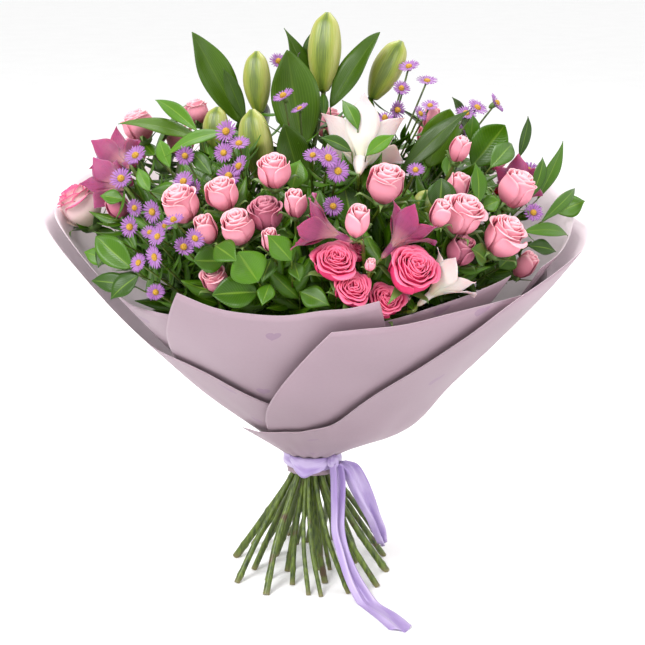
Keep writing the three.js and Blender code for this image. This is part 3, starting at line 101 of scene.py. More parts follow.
def noise(tree, place_socket, scale, detail=2.0, stretch=(1, 1, 1)):
    stretched = node(tree, "ShaderNodeMapping", {"Vector": place_socket, "Scale": stretch})
    inputs = {"Vector": stretched.outputs[0], "Scale": scale, "Detail": detail}
    return node(tree, "ShaderNodeTexNoise", inputs).outputs["Fac"]


def new_material(name, **values):
    material = bpy.data.materials.new(name)
    material.use_nodes = True
    skin = material.node_tree.nodes["Principled BSDF"]
    for key, value in values.items():
        skin.inputs[key.replace("_", " ")].default_value = value
    return material, material.node_tree, skin.inputs


def object_place(tree):
    return node(tree, "ShaderNodeTexCoord").outputs["Object"]


floor_material, tree, skin = new_material("studio_floor", Roughness=0.9)
grain = noise(tree, object_place(tree), 9.0)
tree.links.new(ramp(tree, grain, [(0.3, (0.94, 0.94, 0.94, 1)), (0.7, (0.96, 0.96, 0.96, 1))]), skin[0])
floor = bpy.data.meshes.new("floor")
floor.from_pydata([(-14, -14, 0), (14, -14, 0), (14, 14, 0), (-14, 14, 0)], [], [(0, 1, 2, 3)])
floor.materials.append(floor_material)
floor = new_object("floor", floor)

bpy.context.scene.view_settings.view_transform = "Standard"
world = bpy.data.worlds.new("studio")
bpy.context.scene.world = world
world.use_nodes = True
world.node_tree.nodes["Background"].inputs[0].default_value = (1, 1, 1, 1)
world.node_tree.nodes["Background"].inputs[1].default_value = 1.0
for name, spot, energy, size in (
    ("key", (-1.0, -1.3, 1.8), 42, 0.9),
    ("fill", (1.5, -1.2, 0.9), 10, 1.2),
    ("top", (0.3, 0.7, 1.9), 22, 1.2),
):
    lamp = new_object(name, bpy.data.lights.new(name, "AREA"))
    lamp.data.energy = energy
    lamp.data.size = size
    lamp.location = spot
    lamp.rotation_euler = (Vector((0, 0, 0.28)) - lamp.location).to_track_quat("-Z", "Y").to_euler()

# ---- Wrapping paper ----
# Seven sheets of matt mauve florist's paper, printed with small hearts, wound one over another
# round the stems. Each is gathered in pleats at the tie, with a short collar below it.


PAINT_SHARE = 0.62  # what a colour seen in the photograph is as paint, under these lamps


def colour(red, green, blue):
    """Paint from a colour as seen, out of 255. More than that is for the palest petals and paper."""
    share = np.array([red, green, blue]) / 255
    linear = np.where(share <= 0.04045, share / 12.92, ((share + 0.055) / 1.055) ** 2.4)
    return (*(PAINT_SHARE * linear).tolist(), 1)


def calc(tree, operation, *values):
    return node(tree, "ShaderNodeMath", dict(enumerate(values)), operation=operation).outputs[0]


def mix(tree, share, one, other):
    made = node(tree, "ShaderNodeMix", data_type="RGBA")
    for key, value in ((0, share), (6, one), (7, other)):
        if isinstance(value, bpy.types.NodeSocket):
            tree.links.new(value, made.inputs[key])
        else:
            made.inputs[key].default_value = value
    return made.outputs[2]


def paint(tree, skin, shade, height, strength, distance):
    """Gives a material its colour and the fine relief of its surface."""
    relief = node(tree, "ShaderNodeBump", {"Height": height, "Strength": strength, "Distance": distance})
    tree.links.new(shade, skin["Base Color"])
    tree.links.new(relief.outputs[0], skin["Normal"])


def blade(grid, thickness, tone, rim=0.35):
    """A closed thin sheet from a grid of points, along by across, thinner at its edges."""
    rows, columns = grid.shape[:2]
    normal = np.cross(np.gradient(grid, axis=1), np.gradient(grid, axis=0))
    normal /= np.linalg.norm(normal, axis=2, keepdims=True) + 1e-12
    across = np.linspace(-1, 1, columns)
    body = 1 - (1 - rim) * across**4
    half = (0.5 * thickness * body)[None, :, None] * normal
    points = np.concatenate([(grid + half).reshape(-1, 3), (grid - half).reshape(-1, 3)])
    spot = np.stack(np.broadcast_arrays(across[None], np.linspace(0, 1, rows)[:, None], tone), 2)
    number = np.arange(rows * columns).reshape(rows, columns)
    face = [number[:-1, :-1], number[:-1, 1:], number[1:, 1:], number[1:, :-1]]
    front = np.stack(face, 2).reshape(-1, 4)
    edge = np.concatenate([number[0], number[1:, -1], number[-1, -2::-1], number[-2:0:-1, 0]])
    after = np.roll(edge, -1)
    back = rows * columns
    sides = np.stack([edge + back, after + back, after, edge], 1)
    quads = np.concatenate([front, front[:, ::-1] + back, sides])
    return points, quads, np.zeros((0, 3), int), np.tile(spot.reshape(-1, 3), (2, 1))


def mesh_of(name, parts, material):
    sizes = [len(part[0]) for part in parts]
    starts = np.cumsum([0, *sizes[:-1]])
    points = np.concatenate([part[0] for part in parts])
    quads = np.concatenate([part[1] + start for part, start in zip(parts, starts)])
    tris = np.concatenate([part[2] + start for part, start in zip(parts, starts)])
    mesh = bpy.data.meshes.new(name)
    mesh.vertices.add(len(points))
    mesh.vertices.foreach_set("co", ((points - ORIGIN) / 1000).astype(np.float32).ravel())
    corners = np.concatenate([quads.ravel(), tris.ravel()]).astype(np.int32)
    mesh.loops.add(len(corners))
    mesh.loops.foreach_set("vertex_index", corners)
    totals = np.concatenate([np.full(len(quads), 4), np.full(len(tris), 3)])
    mesh.polygons.add(len(totals))
    mesh.polygons.foreach_set("loop_start", (np.cumsum(totals) - totals).astype(np.int32))
    mesh.polygons.foreach_set("use_smooth", np.ones(len(totals), bool))
    mesh.update(calc_edges=True)
    mesh.validate()
    spot = np.concatenate([part[3] for part in parts]).astype(np.float32)
    mesh.attributes.new("blade", "FLOAT_VECTOR", "POINT").data.foreach_set("vector", spot.ravel())
    mesh.materials.append(material)
    return mesh


def settle(piece, nodes):
    """Joins a finished piece to the bouquet, in place of the frame's nodes that it stands for."""
    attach(piece, "root")
    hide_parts(*nodes)
    return piece


def smooth_rows(table, count):
    """A table's rows with more of them between, on a smooth line through them."""
    table = np.array(table, float)
    padded = np.concatenate([[2 * table[0] - table[1]], table, [2 * table[-1] - table[-2]]])
    t = np.linspace(0, len(table) - 1, count)
    i = np.minimum(t.astype(int), len(table) - 2)
    f = (t - i).reshape(-1, *[1] * (table.ndim - 1))
    a, b, c, d = padded[i], padded[i + 1], padded[i + 2], padded[i + 3]
    return b + 0.5 * f * (c - a + f * (2 * a - 5 * b + 4 * c - d + f * (3 * (b - c) + d - a)))


TIE = 20.6  # the paper's radius where it is tied
BASE = 121  # height there
PLEATS = 17
RIM_WIDE, RIM_DEEP = 226.5, 190  # half sizes of the wrap's rim
RIM_HEIGHT = 347
RIM_TILT = 33  # how much higher the rim is behind, and lower in front
EVEN_CLIMB, LATE_CLIMB = 0.87, 0.13  # shares of the climb that come evenly and near the rim
LAYER, LAYER_OPENS = 1.3, 4.2  # from one sheet to the next at the tie, and what the rim adds
COLLAR, COLLAR_FLARE, COLLAR_DROP = 0.11, 0.4, 20  # the short skirt under the tie
BULGE_AT, BULGE_SPREAD, BULGE_PEAK, BULGE_REST = 0.28, 0.165, 1.4, 0.1
BULGE_EASE = 0.1, 0.4  # where the part of the bulge that stays begins, and how soon it is full


def paper_point(turn, share, slot, out, bulge):
    a = np.radians(turn)
    cos, sin = np.cos(a), np.sin(a)
    reach = 1 / np.hypot(cos / RIM_WIDE, sin / RIM_DEEP) - TIE
    climb = RIM_HEIGHT + RIM_TILT * sin - BASE
    above = np.maximum(share, 0)
    steep = climb * (EVEN_CLIMB + 4 * LATE_CLIMB * above**3)
    slope_x, slope_y = reach / np.hypot(reach, steep), steep / np.hypot(reach, steep)
    ease = np.clip((above - BULGE_EASE[0]) / BULGE_EASE[1], 0, 1)
    hump = BULGE_PEAK * np.exp(-(((above - BULGE_AT) / BULGE_SPREAD) ** 2))
    hump = hump + BULGE_REST * ease**2 * (3 - 2 * ease)
    lean = np.maximum(0, cos)
    offset = slot * (LAYER + LAYER_OPENS * above * (2 - above)) + out + bulge * hump * lean
    drop = np.minimum(share, 0) / COLLAR
    r = TIE + reach * above + offset * np.where(share < 0, 1, slope_y) + COLLAR_FLARE * drop**2
    z = BASE + climb * (EVEN_CLIMB * above + LATE_CLIMB * above**4)
    z = z - offset * slope_x * (share >= 0) + COLLAR_DROP * drop
    return np.stack([r * cos, r * sin, z], -1)


# The sheets, with their layer outwards. An edge's rows go round the rim: the turn at which a line up
# the sheet leaves the tie, the turn at which it reaches the rim, and how far up it ends.
SHEETS = dict(
    paper_back_left=dict(slot=0, edge=[
        (-258, -276, 1), (-242, -250, 1.02), (-226, -228, 1.04), (-211, -210, 1.05),
        (-200, -197, 1.06), (-188, -184, 1.03), (-176, -168, 1.02), (-164, -155, 0.86),
        (-150, -137, 0.87), (-135, -120, 0.9), (-122, -108, 0.9),
    ]),
    paper_front_inner=dict(slot=0, edge=[
        (-104, -78, 0.9), (-88, -67, 0.92), (-74, -58, 0.94), (-54, -47, 0.96), (-26, -35, 0.97),
    ]),
    paper_front_left=dict(slot=1, collar=True, edge=[
        (-186, -122, 1.01), (-165, -114, 0.98), (-145, -105, 0.97), (-124, -96, 0.97),
        (-100, -87, 0.99), (-74, -80.5, 1), (-40, -74, 1.02),
    ]),
    paper_back_right=dict(slot=2, collar=True, edge=[
        (-10, -28, 0.99), (4, -12, 0.99), (18, 2, 1.02), (32, 13, 1.04), (46, 27, 1.05),
        (60, 46, 1.02), (76, 66, 1.02), (96, 96, 1),
    ]),
    paper_left=dict(slot=2, collar=True, edge=[
        (-235, -228, 0.98), (-214, -204, 1), (-196, -184, 1.03), (-181, -168, 1.04),
        (-169, -160, 0.87), (-156, -157, 0.7), (-140, -136, 0.66), (-126, -121, 0.58),
        (-112, -108, 0.49), (-96, -96, 0.42),
    ]),
    paper_centre=dict(slot=3, collar=True, edge=[
        (-136, -85, 0.95), (-122, -78, 0.96), (-106, -69, 0.96), (-88, -57, 0.97), (-70, -47, 0.97),
        (-52, -36, 0.95), (-30, -20, 0.9), (-8, -6, 0.88), (14, 10, 0.86),
    ]),
    paper_right=dict(slot=4, collar=True, bulge=11, edge=[
        (-150, -150, 0.25), (-132, -132, 0.27), (-114, -114, 0.3), (-98, -98, 0.34),
        (-86, -86, 0.4), (-78, -78, 0.45), (-70, -70, 0.58), (-60, -60, 0.74), (-51, -51, 0.87),
        (-41, -41, 0.98), (-28, -28, 1.02), (-10, -10, 1.03), (8, 8, 1), (26, 26, 1),
        (44, 44, 0.97), (62, 62, 0.94),
    ]),
)

paper, tree, skin = new_material(
    "wrapping_paper",
    Roughness=0.62,
    Sheen_Weight=0.12,
    Subsurface_Weight=0.35,
    Subsurface_Radius=(1, 0.85, 0.92),
    Subsurface_Scale=0.003,
)
spot = node(tree, "ShaderNodeAttribute", attribute_name="flat").outputs["Vector"]
cell = 0.094  # metres between printed hearts
tile = node(tree, "ShaderNodeVectorMath", {0: spot, 3: 1 / cell}, operation="SCALE").outputs[0]
inside = node(tree, "ShaderNodeVectorMath", {0: tile}, operation="FRACTION").outputs[0]
x, y, _ = node(tree, "ShaderNodeSeparateXYZ", {0: inside}).outputs
inner = node(tree, "ShaderNodeSeparateXYZ", {0: spot}).outputs[2]
x = calc(tree, "MULTIPLY", calc(tree, "SUBTRACT", x, 0.5), 19)
y = calc(tree, "MULTIPLY", calc(tree, "SUBTRACT", y, 0.5), 19)
notch = calc(tree, "MULTIPLY", calc(tree, "SQRT", calc(tree, "ABSOLUTE", x)), 0.75)
y = calc(tree, "SUBTRACT", y, notch)
ring = calc(tree, "ADD", calc(tree, "MULTIPLY", x, x), calc(tree, "MULTIPLY", y, y))
heart = calc(tree, "MULTIPLY", calc(tree, "LESS_THAN", ring, 1.0), calc(tree, "SUBTRACT", 1, inner))
fibre = noise(tree, object_place(tree), 420, 3)
cloud = noise(tree, object_place(tree), 7, 2)
shade = ramp(tree, cloud, [(0.3, colour(166, 139, 152)), (0.7, colour(184, 156, 170))])
# The inner face is painted much paler than the outside: painted light on the inside of the wrap, where
# the lamps hardly reach.
shade = mix(tree, inner, shade, colour(268, 248, 255))
shade = mix(tree, calc(tree, "MULTIPLY", heart, 0.5), shade, colour(148, 108, 150))
shade = mix(tree, calc(tree, "MULTIPLY", fibre, 0.1), shade, colour(220, 200, 212))
paint(tree, skin, shade, fibre, 0.25, 0.0002)

for number, (name, sheet) in enumerate(SHEETS.items()):
    rng = np.random.default_rng(40 + number)
    slot, bulge = sheet["slot"], sheet.get("bulge", 0)
    edge = smooth_rows(sheet["edge"], 96)
    skirt = np.linspace(-COLLAR, -0.02, 5) if "collar" in sheet else []
    rows = np.concatenate([skirt, np.linspace(0, 1, 34)])
    low, high, top = (edge[:, k][None] for k in range(3))
    share = rows[:, None] * np.where(rows[:, None] < 0, 1, top)
    turn = low + (high - low) * np.maximum(rows, 0)[:, None]
    a = np.radians(turn)
    pleat = 0.8 * np.cos(a * PLEATS) * np.exp(-((share / 0.12) ** 2))
    crumple = 0.9 * np.sin(5 * a + 7 * share) + 0.6 * np.sin(11 * a - 4 * share + 1)
    crumple += 0.4 * np.sin(3 * a - 17 * share + number) + 0.15 * np.sin(23 * a + 9 * share)
    crumple *= np.clip(share * 4, 0, 1)
    lip = max(0, slot - 2) * np.maximum(rows, 0)[:, None] ** 6 * np.minimum(top, 1) ** 2
    sag = pleat + crumple * 0.8 + lip
    grid = paper_point(turn, share, slot, 0.3 + sag, bulge)
    part = blade(grid, 0.35, number / 7, rim=1)
    made = mesh_of(name.replace("paper", "paper_sheet"), [part], paper)
    steps = np.linalg.norm(np.diff(grid, axis=1), axis=2).mean(0)
    across_flat = np.concatenate([[0], np.cumsum(steps)])
    along_flat = np.concatenate([[0], np.cumsum(np.linalg.norm(np.diff(grid, axis=0), axis=2).mean(1))])
    flat = np.stack(np.broadcast_arrays(across_flat[None], along_flat[:, None], 0), 2).reshape(-1, 3)
    flat = (np.tile(flat, (2, 1)) / 1000 + rng.uniform(0, cell)).astype(np.float32)
    flat[:, 2] = np.arange(len(flat)) >= len(flat) / 2  # the inner face, which has no print
    made.attributes.new("flat", "FLOAT_VECTOR", "POINT").data.foreach_set("vector", flat.ravel())
    settle(new_object(made.name, made), [name])

# ---- Satin ribbon ----
# Lilac satin, 23 mm wide: a band round the gathered paper, a folded loop that hangs over it, a
# knot on the right and two tails. The long tail comes down to the floor and lies along it.


upward = np.array([0, math.sin(PITCH), math.cos(PITCH)])


def unit(vector):
    return vector / np.linalg.norm(vector)


def sight_line(pixel):
    across, down = (np.array(pixel) - PICTURE / 2) / FOCAL
    return forward + np.array([across, 0, 0]) - down * upward


def at_depth(pixel, y):
    line = sight_line(pixel)
    return eye + line * (y - eye[1]) / line[1]


def round_form(rings):
    """A closed surface through rings of equally many points, with a pole at either end."""
    sides = len(rings[0])
    poles = [rings[0].mean(0), rings[-1].mean(0)]
    points = np.concatenate([*rings, *[pole[None] for pole in poles]])
    number = np.arange(sides * len(rings)).reshape(len(rings), sides)
    after = np.roll(number, -1, 1)
    quads = np.stack([number[:-1], after[:-1], after[1:], number[1:]], 2).reshape(-1, 4)
    low, high = sides * len(rings), sides * len(rings) + 1
    caps = [np.stack([after[0], number[0], np.full(sides, low)], 1)]
    caps.append(np.stack([number[-1], after[-1], np.full(sides, high)], 1))
    turn = np.linspace(-1, 1, sides, endpoint=False)
    along = np.linspace(0, 1, len(rings))
    spot = np.stack(np.broadcast_arrays(turn[None], along[:, None], 0.5), 2).reshape(-1, 3)
    spot = np.concatenate([spot, [[0, 0, 0.5], [0, 1, 0.5]]])
    return points, quads, np.concatenate(caps), spot


def piece_of(name, parts, material, nodes):
    return settle(new_object(name, mesh_of(name, parts, material)), nodes)


def blade_spot(tree):
    """Where a point is on its blade: across, along and its tone."""
    own = node(tree, "ShaderNodeAttribute", attribute_name="blade").outputs["Vector"]
    return own, node(tree, "ShaderNodeSeparateXYZ", {0: own}).outputs


def circle(count):
    return np.linspace(0, 2 * math.pi, count + 1)[:-1]


def ring_of(turn, r, z):
    return np.stack([r * np.cos(turn), r * np.sin(turn), 0 * turn + z], 1)


satin, tree, skin = new_material("ribbon_satin", Roughness=0.34, Sheen_Weight=0.4, Sheen_Roughness=0.3)
own, (across, along, tone) = blade_spot(tree)
thread = calc(tree, "SINE", calc(tree, "MULTIPLY", across, 160))
slub_and_painted_sheen = noise(tree, own, 1.6, 1, (0.9, 2.6, 1))
edge = calc(tree, "GREATER_THAN", calc(tree, "ABSOLUTE", across), 0.9)
# The lighter and darker lilac patches are painted sheen of the satin; the same noise also gives the
# surface its slight relief.
shade = ramp(tree, slub_and_painted_sheen, [(0.35, colour(188, 160, 226)), (0.65, colour(226, 206, 252))])
shade = mix(tree, calc(tree, "MULTIPLY", edge, 0.35), shade, colour(168, 140, 206))
height = calc(tree, "ADD", calc(tree, "MULTIPLY", thread, 0.5), slub_and_painted_sheen)
paint(tree, skin, shade, height, 0.08, 0.0003)

RIBBON_RADIUS = 27.6
band = []
for level in np.linspace(0, 1, 9):
    turn = circle(96)
    crease = 0.35 * np.sin(9 * level + 2 * np.sin(turn)) + 0.25 * np.sin(3 * turn + 5 * level)
    r = RIBBON_RADIUS + 0.5 + crease
    z = 106.3 + 13.4 * level + 0.5 * np.sin(2 * turn + 1)
    band.append(ring_of(turn, r, z))
inner = [ring * [0.985, 0.985, 1] for ring in band[::-1]]
loop = np.concatenate([band, inner])
rings, sides = loop.shape[:2]
number = np.arange(rings * sides).reshape(rings, sides)
under, beside = np.roll(number, -1, 0), np.roll(number, -1, 1)
quads = np.stack([number, beside, np.roll(beside, -1, 0), under], 2).reshape(-1, 4)
level = np.concatenate([np.linspace(-1, 1, 9), np.linspace(1, -1, 9)])
spot = np.stack(np.broadcast_arrays(level[:, None], np.linspace(0, 1, sides)[None], 0.5), 2)
band = (loop.reshape(-1, 3), quads, np.zeros((0, 3), int), spot.reshape(-1, 3))

FOLD = [
    [-21, 112, 0],
    [-18, 109, 1],
    [-13, 104.5, 3],
    [-7, 100.5, 4],
    [0, 103.5, 3],
    [8, 107, 2.5],
    [15, 113, 1.5],
    [20, 117, 0],
]

fold = smooth_rows(FOLD, 40)
rows = np.linspace(0, 1, 12)[:, None]
x, low, proud = (fold[:, k][None] for k in range(3))
z = 119.5 + (low - 119.5) * rows
wave = np.sin(5 * rows + x / 3.4) * rows
r = RIBBON_RADIUS + 1.2 + proud * np.sin(math.pi * (0.1 + 0.65 * rows)) + wave
turn = np.arcsin(x / (RIBBON_RADIUS + 1))
fold = blade(np.stack([r * np.sin(turn), -r * np.cos(turn), z + 0 * r], 2)[:, ::-1], 0.7, 0.4)

knot = []
for level in np.linspace(0.06, 0.94, 15):
    a = circle(40)
    r = 6.6 * math.sin(math.pi * level) * (1 + 0.07 * np.cos(5 * a + 6 * level) + 0.05 * np.cos(9 * a))
    x, y, z = 0.85 * r * np.cos(a), 0.8 * r * np.sin(a), 0 * a - 7 * math.cos(math.pi * level)
    knot.append(np.stack([x, y, z], 1))
knot = round_form([ring + [20, -27.5, 116] for ring in knot])


RIBBON_WIDTH = 23


def creases(half, across):
    """Depth of the lengthwise creases that leave a full ribbon's width only 2 * half wide."""
    wave = np.sin(1.5 * math.pi * across + 0.5)
    low, high = np.zeros_like(half), np.full_like(half, 12)
    for _ in range(40):
        depth = 0.5 * (low + high)
        steps = np.hypot(np.diff(across * half, axis=1), np.diff(wave * depth, axis=1))
        narrow = steps.sum(1, keepdims=True) < RIBBON_WIDTH
        low, high = np.where(narrow, depth, low), np.where(narrow, high, depth)
    return wave * depth


def tail(table, count):
    """A ribbon tail from rows of (point, half the width it shows, the way its width lies)."""
    rows = smooth_rows([[*at, half, *unit(np.array(side))] for at, half, side in table], count)
    at, half = rows[:, None, :3], rows[:, None, 3:4]
    side = rows[:, None, 4:] / np.linalg.norm(rows[:, None, 4:], axis=2, keepdims=True)
    across = np.linspace(-1, 1, 37)[None, :, None]
    cup = np.cross(side, np.gradient(at, axis=0))
    cup /= np.linalg.norm(cup, axis=2, keepdims=True)
    grid = at + across * half * side + creases(half[..., 0], across[..., 0])[..., None] * cup
    point = np.gradient(at, axis=0)[-1] * 1.2
    grid[-1] += point * (1 - np.abs(across[0])) * 3
    grid[:, :, 2] = np.maximum(grid[:, :, 2], 0.75)
    return grid


LONG_TAIL = [
    (at_depth([336, 463], -29), 5.5, (1, 0.5, 0)),
    (at_depth([338, 480], -30), 6.5, (1, 0.3, 0)),
    (at_depth([338, 507], -34), 6, (0.9, 0.5, 0)),
    (at_depth([338, 530], -45), 6, (0.8, 0.6, 0)),
    (at_depth([343, 552], -58), 6, (0.6, 0.8, 0)),
    (at_depth([350, 572], -70), 6.5, (0.8, 0.6, 0)),
    (at_depth([359, 590], -82), 7.5, (0.9, 0.4, 0.1)),
    (at_depth([370, 606], -95), 8.5, (1, 0.4, 0)),
    ((68, -119, 1.3), 9.5, (1, 0.42, 0)),
    ((79, -140, 1.2), 10.5, (1, 0.2, 0)),
]
SHORT_TAIL = [
    (at_depth([340, 462], -27.5), 4.5, (1, 0.6, 0.4)),
    (at_depth([350, 468], -24), 8, (1, 0.3, 0.6)),
    (at_depth([358, 483], -21), 9.5, (1, 0.3, 0.5)),
    (at_depth([366, 500], -18), 8.5, (1, 0.5, 0.4)),
    (at_depth([373, 516], -16), 7, (0.8, 0.8, 0.2)),
    (at_depth([379, 531], -14), 6.5, (0.8, 0.8, 0.1)),
    (at_depth([382, 542], -13), 4, (0.6, 0.9, 0)),
]
piece_of("ribbon_band", [band, fold], satin, ["ribbon"])
piece_of("ribbon_knot", [knot], satin, ["ribbon"])
for name, table, count in (("ribbon_long_tail", LONG_TAIL, 90), ("ribbon_short_tail", SHORT_TAIL, 50)):
    grid = tail(table, count)
    made = piece_of(name, [blade(grid, 0.4, 0.5, rim=1)], satin, ["ribbon"])
    length = np.linalg.norm(np.diff(grid[:, grid.shape[1] // 2], axis=0), axis=1).sum() / 1000

# ---- Cut stems ----
# 31 stems spiral through the tie and stand on their cut ends. Above the paper's throat each leans
# out to where it branches. Each is green, flecked with brown and swollen where leaves were stripped.

TIE_HEIGHT = 112
FOOT_SWELL = math.sqrt((92 / 15.8) ** 2 - 1) / TIE_HEIGHT
HEAD_SWELL = 0.036
SPIRAL = math.radians(20)
BUNDLE_HEIGHTS = [0, 40, 80, 104, 120, 146, 172]
FREE_HEIGHT = 146
EIGHT_WAYS = [k * math.pi / 4 for k in range(8)]


def turned(point, angle):
    cos, sin = math.cos(angle), math.sin(angle)
    return np.array([cos * point[0] - sin * point[1], sin * point[0] + cos * point[1]])


def bundle_point(slot, height):
    above = height - TIE_HEIGHT
    swell = math.hypot(1, above * (FOOT_SWELL if above < 0 else HEAD_SWELL))
    return np.array([*(turned(slot, -SPIRAL * above / TIE_HEIGHT) * swell), height])


def stem_path(slot, junction):
    top = BUNDLE_HEIGHTS[-1]
    heights = [*BUNDLE_HEIGHTS, top + 0.55 * (junction[2] - top), junction[2]]
    astray = junction - bundle_point(slot, junction[2])
    points = []
    for z in heights:
        t = min(max((z - FREE_HEIGHT) / (junction[2] - FREE_HEIGHT), 0), 1)
        points.append(bundle_point(slot, z) + t * t * (3 - 2 * t) * astray)
    return points


def along_path(path, left):
    """The point that lies left millimetres before the end of a path."""
    for end, start in zip(path[::-1], path[-2::-1]):
        length = np.linalg.norm(end - start)
        if left <= length:
            return end + (start - end) * left / length
        left -= length
    return path[0]


def skeleton_mesh(name, paths):
    """Paths of (points, radii) as a mesh of edges, each point with its radius."""
    mesh = bpy.data.meshes.new(name)
    points = np.concatenate([path for path, _ in paths])
    starts = np.cumsum([0, *[len(path) for path, _ in paths]])
    edges = [(i, i + 1) for low, high in zip(starts, starts[1:]) for i in range(low, high - 1)]
    mesh.from_pydata(((points - ORIGIN) / 1000).tolist(), edges, [])
    radii = np.concatenate([radius for _, radius in paths]) / 1000
    mesh.attributes.new("radius_here", "FLOAT", "POINT").data.foreach_set("value", radii)
    return mesh


def new_tree(name, sockets):
    tree = bpy.data.node_groups.new(name, "GeometryNodeTree")
    for socket, kind in sockets:
        tree.interface.new_socket(socket, in_out="INPUT", socket_type=kind)
    tree.interface.new_socket("Geometry", in_out="OUTPUT", socket_type="NodeSocketGeometry")
    return tree, node(tree, "NodeGroupInput").outputs


sweep, given = new_tree(
    "swept_stems",
    [("Skeleton", "NodeSocketGeometry"), ("Sides", "NodeSocketInt"), ("Bark", "NodeSocketMaterial")],
)
radius_here = node(sweep, "GeometryNodeInputNamedAttribute", {0: "radius_here"}, data_type="FLOAT")
curve = node(sweep, "GeometryNodeMeshToCurve", {0: given["Skeleton"]})
profile = node(sweep, "GeometryNodeCurvePrimitiveCircle", {"Resolution": given["Sides"], "Radius": 1.0})
tube = node(
    sweep,
    "GeometryNodeCurveToMesh",
    {0: curve.outputs[0], 1: profile.outputs[0], "Scale": radius_here.outputs[0], "Fill Caps": True},
)
corner_x, corner_y, corner_z = node(
    sweep, "ShaderNodeSeparateXYZ", {0: node(sweep, "GeometryNodeInputPosition").outputs[0]}
).outputs
above_floor = calc(sweep, "MAXIMUM", corner_z, 0.0)
level = node(sweep, "ShaderNodeCombineXYZ", {0: corner_x, 1: corner_y, 2: above_floor}).outputs[0]
cut = node(sweep, "GeometryNodeSetPosition", {0: tube.outputs[0], "Position": level})
smooth = node(sweep, "GeometryNodeSetShadeSmooth", {0: cut.outputs[0]})
real = node(sweep, "GeometryNodeRealizeInstances", {0: smooth.outputs[0]})
done = node(sweep, "GeometryNodeSetMaterial", {0: real.outputs[0], "Material": given["Bark"]})
node(sweep, "NodeGroupOutput", {0: done.outputs[0]})


def grown(name, mesh, tree, inputs, nodes):
    """A piece that a tree of geometry nodes makes from a mesh, as a plain mesh."""
    made = new_object(name, mesh)
    modifier = made.modifiers.new("grown", "NODES")
    modifier.node_group = tree
    for item in tree.interface.items_tree:
        if item.name in inputs:
            modifier[item.identifier] = inputs[item.name]
    result = made.evaluated_get(bpy.context.evaluated_depsgraph_get())
    plain = bpy.data.meshes.new_from_object(result)
    made.modifiers.clear()
    made.data = plain
    return settle(made, nodes)


OFF, ON = (0, 0, 0, 1), (1, 1, 1, 1)  # the two ends of a mask

bark, tree, skin = new_material("stem_skin", Roughness=0.42, Coat_Weight=0.1)
here = object_place(tree)
streak = noise(tree, here, 55, 3, (6, 6, 0.25))
mottle = noise(tree, here, 60, 2)
lengthwise = node(tree, "ShaderNodeSeparateXYZ", {0: here}).outputs[2]
shade = ramp(tree, streak, [(0.3, colour(48, 70, 10)), (0.7, colour(122, 146, 40))])
flecks = ramp(tree, mottle, [(0.6, OFF), (0.7, ON)])
shade = mix(tree, flecks, shade, colour(92, 68, 34))
cut_end = ramp(tree, lengthwise, [(0.0, ON), (0.006, OFF)])
shade = mix(tree, cut_end, shade, colour(150, 138, 92))
paint(tree, skin, shade, streak, 0.35, 0.0006)

# ---- What grows on the stems ----
# Roses, alstroemeria, lilies and asters with their buds and leaves, listed by the stem that carries
# them. Blooms stand on a dome, where the camera sees them; what rises above it has its own depth.


UP = np.array([0.0, 0.0, 1.0])
HEART = np.array([0.0, 0.0, 180.0])  # the point that the blooms face away from
DOME = np.array([240.0, 180.0, 150.0])  # half sizes of the flower dome
DOME_HEIGHT = 300


def on_dome(pixel, lift=0):
    size = DOME + lift
    line = sight_line(pixel)
    start = (eye - [0, 0, DOME_HEIGHT]) / size
    step = line / size
    a, b = step @ step, start @ step
    under = max(0, b * b - a * (start @ start - 1))
    return eye + line * (-b - math.sqrt(under)) / a


def on_dome_spot(turn, rise, lift):
    a, b = math.radians(turn), math.radians(rise)
    way = np.array([math.cos(a) * math.cos(b), math.sin(a) * math.cos(b), math.sin(b)])
    return (DOME + lift) * way + [0, 0, DOME_HEIGHT]


def place(pixel, lift, depth=None):
    return on_dome(pixel, lift) if depth is None else at_depth(pixel, depth)


def away_from_heart(at):
    return unit(at - HEART)


# The heads: pixels across and down, width, colour and how far the head stands out of the dome.
ROSE_HEADS = dict(
    rose_01=(82, 208, 46, "pale", -12),
    rose_02=(119, 207, 25, "dusky", -14),
    rose_03=(139, 127, 34, "light", 0),
    rose_04=(197, 113, 27, "light", 0),
    rose_05=(181, 206, 37, "light", 0),
    rose_06=(223, 196, 33, "light", 0),
    rose_07=(215, 280, 27, "light", -14),
    rose_08=(238, 229, 34, "light", 0),
    rose_09=(266, 216, 34, "dusky", -14),
    rose_10=(274, 173, 33, "light", 6),
    rose_11=(385, 186, 38, "light", 0),
    rose_12=(335, 264, 38, "hot", 0),
    rose_13=(357, 250, 27, "hot", -18),
    rose_14=(352, 291, 32, "hot", 0),
    rose_15=(384, 302, 33, "hot", -11),
    rose_16=(411, 273, 46, "hot", 0),
    rose_17=(462, 217, 40, "light", 0),
    rose_18=(460, 252, 30, "dusky", -14),
    rose_19=(503, 238, 41, "light", 0),
    rose_20=(515, 191, 38, "light", 0),
)
ALSTROEMERIA = dict(length=40, flare=26, width=21, curl=0.08, neck=8)
OPEN_LILY = dict(length=78, flare=42, width=30, curl=0.12, neck=6)
TRUMPETS = dict(
    alstroemeria_1=dict(mouth=[317, 227], base=[345, 238], depth=-14, spin=0.4),
    alstroemeria_2=dict(mouth=[420, 215], base=[387, 252], depth=-2, spin=0.2),
    alstroemeria_3=dict(mouth=[101, 143], base=[128, 166], depth=4, spin=0),
    alstroemeria_4=dict(mouth=[93, 176], base=[122, 188], depth=4, spin=0.5),
    alstroemeria_5=dict(mouth=[524, 158], base=[514, 196], depth=44, spin=0.3),
    alstroemeria_6=dict(mouth=[447, 280], base=[424, 300], depth=6, spin=0.1),
    lily_open=dict(mouth=[366, 98], base=[359, 172], depth=10, spin=0.5, shape=OPEN_LILY),
)


